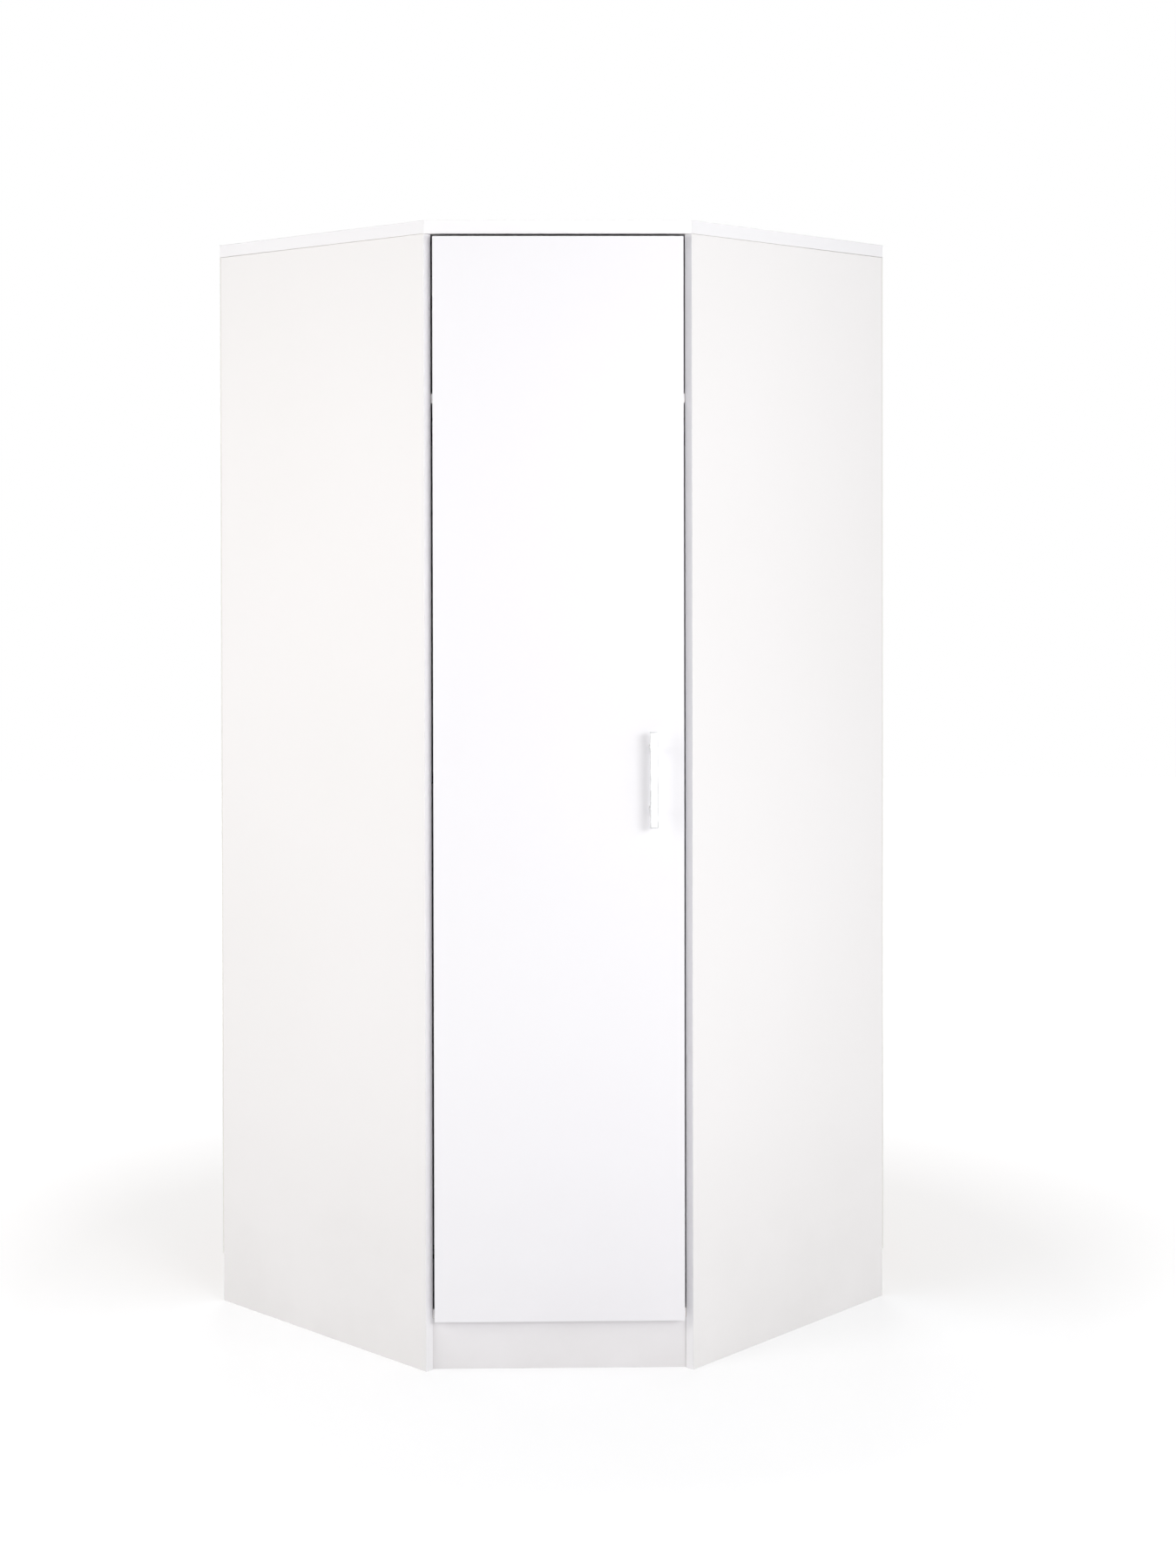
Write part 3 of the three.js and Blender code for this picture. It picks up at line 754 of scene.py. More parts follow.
    def softened(self, radius: float, segments: int = 2, shortest: float = 0.0) -> "Solid":
        """Rounds the sharp outer edges, and marks the new faces for scuffs and painted edge shade.

        Args:
            radius: The width taken from each edge.
            segments: The number of steps across the rounding.
            shortest: Edges shorter than this stay sharp.

        Returns:
            This shape.
        """
        wear = self.shape.faces.layers.float.new(WEAR_AND_SHADE_LAYER)
        edges = []
        for edge in self.shape.edges:
            angle = edge.calc_face_angle(0.0)
            if FLAT_ANGLE < angle < SHARP_ANGLE:
                for face in edge.link_faces:
                    face.smooth = True
            raw = any(face.material_index == Skin.RAW for face in edge.link_faces)
            if angle > SHARP_ANGLE and edge.is_convex and edge.calc_length() > shortest and not raw:
                edges.append(edge)
        made = bmesh.ops.bevel(
            self.shape, geom=edges, offset=radius, segments=segments, profile=0.5, affect="EDGES",
            clamp_overlap=True, material=-1,
        )
        for face in made["faces"]:
            face[wear] = 1.0
            face.smooth = True
        return self

    def mesh(self, name: str) -> Mesh:
        """Ends the shape and gives its mesh.

        Args:
            name: The mesh's name.

        Returns:
            The finished mesh.
        """
        made = bpy.data.meshes.new(name)
        self.shape.to_mesh(made)
        self.shape.free()
        return made


def linked(name: str, data: object) -> Object:
    """Puts a new object into the scene.

    Args:
        name: The object's name.
        data: Its mesh, lamp or camera.

    Returns:
        The object.
    """
    made = bpy.data.objects.new(name, data)
    bpy.context.scene.collection.objects.link(made)
    return made


def packed_box(node: str) -> tuple[Vector, Vector, Vector]:
    """The lowest corner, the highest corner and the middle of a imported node."""
    low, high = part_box(node)
    return low, high, (low + high) / 2


def place_piece(
    name: str, mesh: Mesh, finishes: Sequence[Finish], body: Body, stands_for: Iterable[str]
) -> None:
    """Puts a finished mesh into the scene as a piece of the object.

    Args:
        name: The piece's name.
        mesh: Its mesh, in place.
        finishes: Its finishes, in the order of its faces' material numbers.
        body: The body that it rides on.
        stands_for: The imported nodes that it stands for.
    """
    if not mesh.materials:
        for finish in finishes:
            mesh.materials.append(finish.material())
    mesh.name = name
    made = linked(name, mesh)
    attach(made, body.value)
    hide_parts(*stands_for)
    log.info("%s rides on %s, %d faces", name, body.value, len(mesh.polygons))


@dataclass(frozen=True)
class Plan:
    """The cabinet's plan, read from the frame.

    A place on a half runs inwards and back from the corner between the door and that side.
    """

    front_half: float
    front_y: float
    side_depth: float
    wall_length: float
    door_edge: float
    door_back: float

    @classmethod
    def from_frame(cls) -> "Plan":
        """Reads the plan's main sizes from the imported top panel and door.

        Returns:
            The plan.
        """
        low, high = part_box("top_panel")
        door_low, door_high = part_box("door_panel")
        run = high.y - low.y - high.x
        return cls(
            front_half=high.x - run, front_y=low.y, side_depth=run / SLOPE, wall_length=high.x / SLOPE,
            door_edge=door_low.x, door_back=door_high.y,
        )

    def point(self, side: Side, inward: float, back: float, height: float) -> Vector:
        """A place on one half."""
        x = side.value * (self.front_half + (back - inward) * SLOPE)
        return Vector((x, self.front_y + (inward + back) * SLOPE, height))

    @staticmethod
    def heading(side: Side, inward: float, back: float) -> Vector:
        """A direction on one half."""
        return Vector((side.value * (back - inward), inward + back, 0)).normalized()

    def left_wing(self, height: float) -> Matrix:
        """The frame of the left side board: X inwards, Y back and Z up from a height."""
        return spot((-self.front_half, self.front_y, height), WALL_ANGLE)

    def door_frame(self, height: float) -> Matrix:
        """The frame of the door's hinge edge: X along the door, Y 0 at its back and Z up from a height."""
        return spot((self.door_edge, self.door_back, height))


@dataclass
class Board:
    """A coated board cut from a packed panel, with banded and raw edges."""

    name: str
    node: str
    thin: Vector
    banded: Sequence[Vector]
    body: Body = Body.CARCASS
    finishes: Sequence[Finish] = (WHITE_FACE, WHITE_BAND, RAW_CHIPBOARD)
    edge: float = 0.5 * MM
    shortest_edge: float = 12 * MM
    notch_depth: float = 0.1 * MM

    def build(self) -> None:
        """Builds the board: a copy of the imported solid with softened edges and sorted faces."""
        solid = Solid.of_node(self.node)
        for face in solid.shape.faces:
            face.material_index = self._kind(solid, face)
        solid.softened(self.edge, shortest=self.shortest_edge)
        place_piece(self.name, solid.mesh(self.name), self.finishes, self.body, [self.node])

    def _kind(self, solid: Solid, face: bmesh.types.BMFace) -> Skin:
        """Sorts a face as coated, banded, or raw as in a notch or a bore.

        Args:
            solid: The board's shape.
            face: One face of it.

        Returns:
            The kind of surface.
        """
        reach = max(face.normal.dot(vertex.co) for vertex in solid.shape.verts)
        if face.normal.dot(face.verts[0].co) < reach - self.notch_depth:
            return Skin.RAW
        if abs(face.normal.dot(self.thin)) > SLOPE:
            return Skin.FACE
        return Skin.BAND if any(face.normal.dot(way) > FACING for way in self.banded) else Skin.RAW


@dataclass
class Carcass:
    """The fixed boards, the backs and the corner batten."""

    plan: Plan
    sheet_edge: float = 0.2 * MM
    batten_edge: float = 1.2 * MM

    def build(self) -> None:
        """Builds every fixed board."""
        for side in Side:
            thin, front = self.plan.heading(side, 1, 0), self.plan.heading(side, 0, -1)
            Board(f"{side.word}_side_board", f"{side.word}_side_panel", thin, [front, DOWN]).build()
            self._back_sheet(side)
        outward = [self.plan.heading(side, -1, 0) for side in Side]
        Board("top_board", "top_panel", UP, [FRONT, *outward]).build()
        Board("bottom_board", "bottom_panel", UP, [FRONT]).build()
        Board("hat_shelf_board", "hat_shelf", UP, [FRONT]).build()
        # The plinth's greyer face is painted shade from the proud door above it.
        finishes = (PLINTH_FACE_PAINTED_SHADE, WHITE_BAND, RAW_CHIPBOARD)
        Board("plinth_front", "plinth_board", BACK, [UP, DOWN], finishes=finishes).build()
        batten = Solid.of_node("back_corner_post").softened(self.batten_edge, segments=3)
        mesh = batten.mesh("back_corner_batten")
        place_piece("back_corner_batten", mesh, [PINE_BATTEN], Body.CARCASS, ["back_corner_post"])

    def _back_sheet(self, side: Side) -> None:
        """Builds one back sheet, white but for its brown outer face.

        Args:
            side: The half that it closes.
        """
        outward = self.plan.heading(side, 0, 1)
        node = f"{side.word}_back_panel"
        solid = Solid.of_node(node)
        for face in solid.shape.faces:
            face.material_index = int(face.normal.dot(outward) > SLOPE)
        solid.softened(self.sheet_edge)
        name = f"{side.word}_brown_hardboard"
        brown = replace(BROWN_HARDBOARD, name=name, turn=side.value * WALL_ANGLE)
        finishes = (WHITE_HARDBOARD, brown)
        place_piece(f"{side.word}_back_sheet", solid.mesh(node), finishes, Body.CARCASS, [node])


def rounded_outline(low: Sequence[float], high: Sequence[float], radius: float, steps: int = 8) -> Outline:
    """An outline of a rectangle with round corners.

    Args:
        low: Its lowest corner.
        high: Its highest corner.
        radius: The radius of its corners.
        steps: The number of steps round each corner.

    Returns:
        The outline's points in order.
    """
    points = []
    left, right, near, far = low[0] + radius, high[0] - radius, low[1] + radius, high[1] - radius
    for corner, (x, y) in enumerate(((right, far), (left, far), (left, near), (right, near))):
        angles = [(corner + step / steps) * QUARTER for step in range(steps + 1)]
        points += [(x + radius * math.cos(a), y + radius * math.sin(a)) for a in angles]
    return points


@dataclass
class HangingRail:
    """The chromed clothes rail and its two sockets under the hat shelf."""

    wall: float = 1.5 * MM
    lip: float = 0.4 * MM
    ring: float = 4.2 * MM
    depth: float = 12 * MM
    end: float = 3 * MM
    stem: float = 18 * MM
    flange: float = 3 * MM
    corner: float = 5 * MM
    screw_hole: float = 2.2 * MM
    screw_inset: float = 8 * MM
    edge: float = 0.5 * MM

    def build(self) -> None:
        """Builds the rail, with rounded rims at both ends, and its sockets."""
        low, high, centre = packed_box("hanging_rail")
        radius, half = (high.z - low.z) / 2, (high.x - low.x) / 2
        inner, rim = radius - self.wall, radius - self.lip
        profile = [
            (inner, -half), (rim, -half), (radius, self.lip - half),
            (radius, half - self.lip), (rim, half), (inner, half),
        ]
        tube = Solid.turned(profile).moved(spot(centre, QUARTER, "Y")).softened(0.0)
        place_piece("rail_tube", tube.mesh("rail_tube"), [CHROME], Body.CARCASS, ["hanging_rail"])
        for side in Side:
            self._socket(side, centre, radius, half)

    def _socket(self, side: Side, centre: Vector, radius: float, half: float) -> None:
        """Builds one socket: a blind ring on a stem, under a screwed flange.

        Args:
            side: The end of the rail.
            centre: The rail's middle.
            radius: The rail's outer radius.
            half: Half of the rail's length.
        """
        node = f"{side.word}_rail_bracket"
        low, high, middle = packed_box(node)
        inside = side.value * (half - self.depth)
        turn = spot((inside, centre.y, centre.z), side.value * QUARTER, "Y")
        ring = Solid.peg(radius + JOINT_GAP + self.ring, 0, self.depth + self.end).moved(turn)
        bore = Solid.peg(radius + JOINT_GAP, -OVERRUN, self.depth + JOINT_GAP).moved(turn)
        x0, x1 = sorted((inside, side.value * (half + self.end)))
        y0, y1 = centre.y - self.stem / 2, centre.y + self.stem / 2
        stem = Solid.block((x0, y0, centre.z), (x1, y1, high.z))
        outline = rounded_outline((low.x, low.y), (high.x, high.y), self.corner)
        flange = Solid.prism(outline, high.z - self.flange, high.z)
        rows = (low.y + self.screw_inset, high.y - self.screw_inset)
        spots = [spot((middle.x, y, 0)) for y in rows]
        holes = Solid.drills(self.screw_hole, high.z - self.flange - OVERRUN, high.z + OVERRUN, *spots)
        solid = ring.joined(stem, flange).cut(bore, *holes).softened(self.edge)
        place_piece(f"{side.word}_rail_socket", solid.mesh(node), [NICKEL], Body.CARCASS, [node])


@dataclass
class WallBrackets:
    """The two angle brackets that tie the top board to the wall."""

    thickness: float = 2 * MM
    width: float = 40 * MM
    leg: float = 36 * MM
    hole: float = 3 * MM
    screw_hole: float = 2.2 * MM
    corner: float = 5 * MM
    edge: float = 0.4 * MM

    def build(self) -> None:
        """Builds both brackets, each a folded plate with a hole in each leg."""
        thick, half, reach = self.thickness, self.width / 2, self.leg / 2
        flat = rounded_outline((-half, -reach), (half, reach + self.corner), self.corner)
        clip = Solid.block((-half, -reach, -self.leg), (half, reach, OVERRUN))
        leg = Solid.prism(flat, -thick, 0).common(clip)
        fold = spot((0, reach, -reach), QUARTER, "X")
        clip = Solid.block((-half, -reach, -OVERRUN), (half, reach, OVERRUN + thick))
        lug = Solid.prism(flat, 0, thick).common(clip).moved(fold)
        hole = Solid.drills(self.hole, -OVERRUN, thick + OVERRUN, fold)
        screw_hole = Solid.drills(self.screw_hole, -thick - OVERRUN, OVERRUN, Matrix())
        bracket = leg.joined(lug).cut(*hole, *screw_hole)
        for side in Side:
            node = f"{side.word}_wall_bracket"
            _, high, middle = packed_box(node)
            place = spot((middle.x, middle.y, high.z), -side.value * WALL_ANGLE)
            mesh = bracket.moved(place).softened(self.edge).mesh(node)
            place_piece(f"{side.word}_wall_angle", mesh, [ZINC], Body.CARCASS, [node])


@dataclass
class Hinges:
    """Three concealed hinges: cup and pin on the door, arm and plate on the left side board."""

    plan: Plan
    pivot_inset: float = 7 * MM
    pivot_depth: float = 9 * MM
    pin_radius: float = 1.1 * MM
    pin_length: float = 16 * MM
    cup_inset: float = 3 * MM
    cup_radius: float = 17.2 * MM
    cup_depth: float = 12.2 * MM
    cup_wall: float = 0.6 * MM
    cup_bottom_radius: float = 1.6 * MM
    cup_flange: float = 1 * MM
    cup_rim: float = 1.2 * MM
    cup_screw_spacing: float = 45 * MM
    cup_screw_offset: float = 9.5 * MM
    ear_radius: float = 6 * MM
    lug_height: float = 6.2 * MM
    lug_length: float = 8 * MM
    neck_width: float = 9 * MM
    neck_side_gap: float = 0.4 * MM
    neck_thickness: float = 1.8 * MM
    neck_reach: float = 8.5 * MM
    neck_bend: float = 4.5 * MM
    knuckle_radius: float = 2.1 * MM
    board: float = 15 * MM
    arm_height: float = 15.5 * MM
    arm_width: float = 18.8 * MM
    arm_wall: float = 1.4 * MM
    arm_flange: float = 9.5 * MM
    arm_start: float = 2 * MM
    arm_end: float = 66 * MM
    arm_screw_back: float = 56 * MM
    arm_screw_radius: float = 2 * MM
    arm_screw_length: float = 9 * MM
    plate_thickness: float = 3 * MM
    plate_width: float = 16 * MM
    plate_front: float = 27 * MM
    plate_back: float = 37 * MM
    plate_end: float = 67 * MM
    wing_radius: float = 7 * MM
    plate_screw_spacing: float = 32 * MM
    screw_radius: float = 1.9 * MM
    pressed_edge: float = 0.25 * MM
    bend_steps: int = 10

    NAMES = ("upper", "middle", "lower")

    def build(self) -> None:
        """Builds one hinge and copies it to the three heights."""
        parts = {
            "hinge_cup": (self._cup(), Body.DOOR, NICKEL, "cup_shell"),
            "hinge_pin": (self._pin(), Body.DOOR, ZINC, "cup_rivet"),
            "hinge_arm": (self._arm(), Body.CARCASS, NICKEL, "swan_arm"),
            "hinge_plate": (self._plate(), Body.CARCASS, NICKEL, "arm_plate"),
        }
        for hinge in self.NAMES:
            height = packed_box(f"{hinge}_hinge_pin")[2].z
            for part, (solid, body, finish, word) in parts.items():
                frame = self.plan.door_frame if body is Body.DOOR else self.plan.left_wing
                node, name = f"{hinge}_{part}", f"{hinge}_{word}"
                place_piece(name, solid.moved(frame(height)).mesh(node), [finish], body, [node])

    @property
    def _pivot(self) -> Matrix:
        """The frame of the pin's middle, in the door's frame."""
        return spot((self.pivot_inset, -self.pivot_depth, 0))

    @property
    def _arm_top(self) -> float:
        """How far the arm's back stands off the side board's outer face."""
        return self.board + self.arm_height + self.neck_thickness / 2

    def _cup(self) -> Solid:
        """Builds the pressed cup, with its screw wings and the two lugs that hold the pin.

        Returns:
            The cup, with its axis pointing back.
        """
        r, fillet, seat = self.cup_radius, self.cup_bottom_radius, JOINT_GAP
        rim, inner, top = r + self.cup_rim, r - self.cup_wall, seat + self.cup_flange
        bottom, floor, mouth = -self.cup_depth, self.cup_wall - self.cup_depth, OVERRUN * 2
        centre = self.cup_inset + r + JOINT_GAP
        turn = spot((centre, 0, 0), -QUARTER, "X")
        steps = self.bend_steps // 2
        angles = [i / steps * QUARTER for i in range(steps + 1)]
        bend = [(r - fillet + fillet * math.sin(a), bottom + fillet - fillet * math.cos(a)) for a in angles]
        shell = Solid.turned([(0, bottom), *bend, (r, seat), (rim, seat), (rim, top), (0, top)])
        half, spread, x = self.ear_radius, self.cup_screw_spacing / 2, self.cup_screw_offset
        ears = rounded_outline((x - half, -spread - half), (x + half, spread + half), half - MERGE_DISTANCE)
        slope = fillet / 2
        hollow = [(0, floor), (inner - slope, floor), (inner, floor + slope), (inner, mouth), (0, mouth)]
        shell = shell.joined(Solid.prism(ears, seat, top)).cut(Solid.turned(hollow)).moved(turn)
        inside = Solid.peg(r - self.cup_wall / 2, bottom, 0).moved(turn)
        near = (self.cup_inset, bottom + self.cup_wall / 2)
        far = (self.pivot_inset + self.knuckle_radius, bottom + self.lug_height)
        gap, end = self.neck_width / 2 + self.neck_side_gap, self.lug_length
        ends = ((gap, gap + end), (-gap - end, -gap))
        lugs = [Solid.block((*near, low), (*far, high)).common(inside) for low, high in ends]
        half = self.pin_length / 2 + JOINT_GAP
        holes = Solid.drills(self.pin_radius + JOINT_GAP, -half, half, self._pivot)
        spots = [spot((centre + x, 0, way * spread), -QUARTER, "X") for way in (1, -1)]
        holes += Solid.drills(self.screw_radius + JOINT_GAP, -OVERRUN, OVERRUN * 2, *spots)
        return shell.joined(*lugs).cut(*holes).softened(self.pressed_edge / 2, segments=1)

    def _pin(self) -> Solid:
        """Builds the pivot pin, with a small chamfer at each end.

        Returns:
            The pin.
        """
        half, r, edge = self.pin_length / 2, self.pin_radius, self.pressed_edge
        rim = r - edge
        profile = [(0, -half), (rim, -half), (r, edge - half), (r, half - edge), (rim, half), (0, half)]
        return Solid.turned(profile, HOLE_SIDES).moved(self._pivot).softened(0.0)

    def _neck_line(self) -> list[Vector]:
        """Draws the swan neck's middle line in the side board's frame.

        Returns:
            Its points, from the pin to the arm's front.
        """
        plan, web = self.plan, self.board + self.arm_height
        pivot = Vector((
            plan.front_half + plan.door_edge + self.pivot_inset,
            plan.door_back - plan.front_y - self.pivot_depth,
        ))
        bend = [i / self.bend_steps * QUARTER for i in range(self.bend_steps + 1)]
        elbow = pivot + Vector((self.neck_reach, self.neck_bend))
        points = [pivot.copy()]
        points += [elbow + self.neck_bend * Vector((math.sin(a), -math.cos(a))) for a in bend]
        riser = points[-1].x
        points.append(Vector((riser, web / SLOPE - riser)))
        start = self.arm_start + self.arm_wall
        points.append(Vector(((web - start) * SLOPE, (web + start) * SLOPE)))
        return [Vector(((p.x + p.y) * SLOPE, (p.y - p.x) * SLOPE)) for p in points]

    @staticmethod
    def _strip(line: Sequence[Vector], thickness: float) -> Outline:
        """Draws a strip that follows a line.

        Args:
            line: The strip's middle line.
            thickness: The strip's thickness.

        Returns:
            Its outline, up one side and down the other.
        """
        sides: tuple[list, list] = ([], [])
        for i, point in enumerate(line):
            before = (point - line[max(i - 1, 0)]).normalized()
            after = (line[min(i + 1, len(line) - 1)] - point).normalized()
            along = (before + after).normalized()
            square = along.dot(before if i else after)
            across = Vector((-along.y, along.x)) * thickness / 2 / square
            sides[0].append(tuple(point + across))
            sides[1].insert(0, tuple(point - across))
        return [*sides[0], *sides[1]]

    def _arm(self) -> Solid:
        """Builds the swan-necked arm: a folded channel with a bent neck and a rolled knuckle.

        Returns:
            The arm.
        """
        line = self._neck_line()
        half, w, wall = self.neck_width / 2, self.arm_width / 2, self.arm_wall
        neck = Solid.prism(self._strip(line, self.neck_thickness), -half, half)
        pivot = spot((*line[0], 0))
        knuckle = Solid.peg(self.knuckle_radius, -half, half, KNUCKLE_SIDES).moved(pivot)
        top, under = self._arm_top, self._arm_top - self.arm_flange
        outer = Solid.block((under, self.arm_start, -w), (top, self.arm_end, w))
        hollow = Solid.block(
            (under - OVERRUN, self.arm_start + wall, wall - w),
            (top - wall, self.arm_end + OVERRUN, w - wall),
        )
        bore = Solid.drills(self.pin_radius + JOINT_GAP, -half - OVERRUN, half + OVERRUN, pivot)
        across = spot((top, self.arm_screw_back, 0), QUARTER, "Y")
        slot = Solid.drills(self.arm_screw_radius + JOINT_GAP, -wall - OVERRUN, OVERRUN, across)
        shell = outer.cut(hollow).joined(neck, knuckle).cut(*bore, *slot)
        return shell.softened(self.pressed_edge)

    def _plate(self) -> Solid:
        """Builds the mounting plate: a cross-shaped base with a saddle under the arm.

        Returns:
            The plate.
        """
        inner, thick, back = self.board + JOINT_GAP, self.plate_thickness, self.plate_back
        w = self.plate_width / 2
        base = Solid.block((0, self.plate_front, -w), (thick, self.plate_end, w)).moved(spot((inner, 0, 0)))
        spread, r = self.plate_screw_spacing / 2, self.wing_radius
        outline = rounded_outline((-r, -spread - r), (r, spread + r), r - MERGE_DISTANCE)
        wings = Solid.prism(outline, 0, thick).moved(spot((inner, back, 0)) @ AXES_ON)
        top = self._arm_top - self.arm_wall - JOINT_GAP
        half = self.arm_width / 2 - self.arm_wall - JOINT_GAP
        saddle = Solid.block((inner, self.plate_front, -half), (top, self.arm_end - self.arm_wall, half))
        spots = [spot((inner, back, end * spread), QUARTER, "Y") for end in (1, -1)]
        holes = Solid.drills(self.screw_radius + JOINT_GAP, -OVERRUN, thick + OVERRUN, *spots)
        across = spot((top, self.arm_screw_back, 0), QUARTER, "Y")
        holes += Solid.drills(self.arm_screw_radius + JOINT_GAP, -self.arm_screw_length, OVERRUN, across)
        return base.joined(wings, saddle).cut(*holes).softened(self.pressed_edge)


@dataclass
class DoorLeaf:
    """The door board, its bar handle and its bumpers."""

    bar_thickness: float = 9 * MM
    post_width: float = 10 * MM
    post_spacing: float = 96 * MM
    # Rounded wide enough to carry the handle's painted edge shade.
    bar_edge: float = 1.2 * MM
    shortest_edge: float = 4 * MM
    screw_hole: float = 2.3 * MM
    screw_reach: float = 12 * MM
    dome_steps: int = 8
    shoulder_share: float = 1 / 3

    def build(self) -> None:
        """Builds the door's own pieces."""
        sideways = Vector((1, 0, 0))
        # The door's greyer band paints shade into the grooves beside the door.
        finishes = (DOOR_FACE, DOOR_BAND_GROOVE_SHADE, RAW_CHIPBOARD)
        edges = [UP, DOWN, sideways, -sideways]
        Board("door_board", "door_panel", BACK, edges, Body.DOOR, finishes).build()
        self._handle()
        for level in ("upper", "lower"):
            self._bumper(level)

    def _handle(self) -> None:
        """Builds the handle: one square bar on two posts, drilled for its screws."""
        low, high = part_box("handle_bar")
        middle, half = (low.z + high.z) / 2, (high.z - low.z) / 2
        outer, inner = (self.post_spacing + self.post_width) / 2, (self.post_spacing - self.post_width) / 2
        back = low.y + self.bar_thickness
        side = [(high.y, inner), (high.y, outer), (back, outer), (back, half), (low.y, half)]
        outline = [(back, inner), *side, *[(y, -z) for y, z in reversed(side)], (back, -inner)]
        bar = Solid.prism(outline, low.x, high.x).moved(spot((0, 0, middle)) @ AXES_ON)
        rows = [middle + end * self.post_spacing / 2 for end in (1, -1)]
        spots = [spot(((low.x + high.x) / 2, high.y, z), QUARTER, "X") for z in rows]
        holes = Solid.drills(self.screw_hole, -OVERRUN, self.screw_reach, *spots)
        solid = bar.cut(*holes).softened(self.bar_edge, segments=4, shortest=self.shortest_edge)
        place_piece("bar_handle", solid.mesh("bar_handle"), [SATIN_METAL], Body.DOOR, ["handle_bar"])

    def _bumper(self, level: str) -> None:
        """Builds one bumper as a low dome.

        Args:
            level: Which of the two it is.
        """
        node = f"{level}_bumper"
        low, high, centre = packed_box(node)
        radius, height = (high.x - low.x) / 2, high.y - low.y
        angles = [i / self.dome_steps * QUARTER for i in range(self.dome_steps)]
        shoulder = height * self.shoulder_share
        dome = [(radius * math.cos(a), shoulder + (height - shoulder) * math.sin(a)) for a in angles]
        place = spot((centre.x, low.y, centre.z), -QUARTER, "X")
        solid = Solid.turned([(0, 0), (radius, 0), *dome, (0, height)]).moved(place).softened(0.0)
        place_piece(f"{level}_soft_button", solid.mesh(node), [CLEAR_BUMPER], Body.DOOR, [node])


@dataclass(frozen=True)
class Screw:
    """The sizes of one kind of cross-recessed screw."""

    head_radius: float
    head_height: float
    shank_radius: float
    length: float
    recess_width: float = 0.9 * MM
    recess_reach: float = 4 * MM
    recess_depth: float = 1.3 * MM
    sides: int = 24

    def seat(self, node: str, aim: Vector) -> tuple[Vector, Vector]:
        """Where a packed screw's head sits, and the direction out of it.

        Args:
            node: The screw's node.
            aim: The direction out of its head.

        Returns:
            The place on the screw's axis under its head, and the direction.
        """
        corners = [vertex.co for vertex in bpy.data.objects[node].data.vertices]
        middle = sum(corners, Vector()) / len(corners)
        top = max(corner.dot(aim) for corner in corners)
        return middle + aim * (top - self.head_height - middle.dot(aim)), aim


@dataclass(frozen=True)
class Cap:
    """The sizes of one kind of low domed cap."""

    cap_radius: float
    cap_height: float
    sunk: float = 0.2 * MM
    dome_share: float = 0.9
    spacing: float = 120 * MM
    sides: int = 24


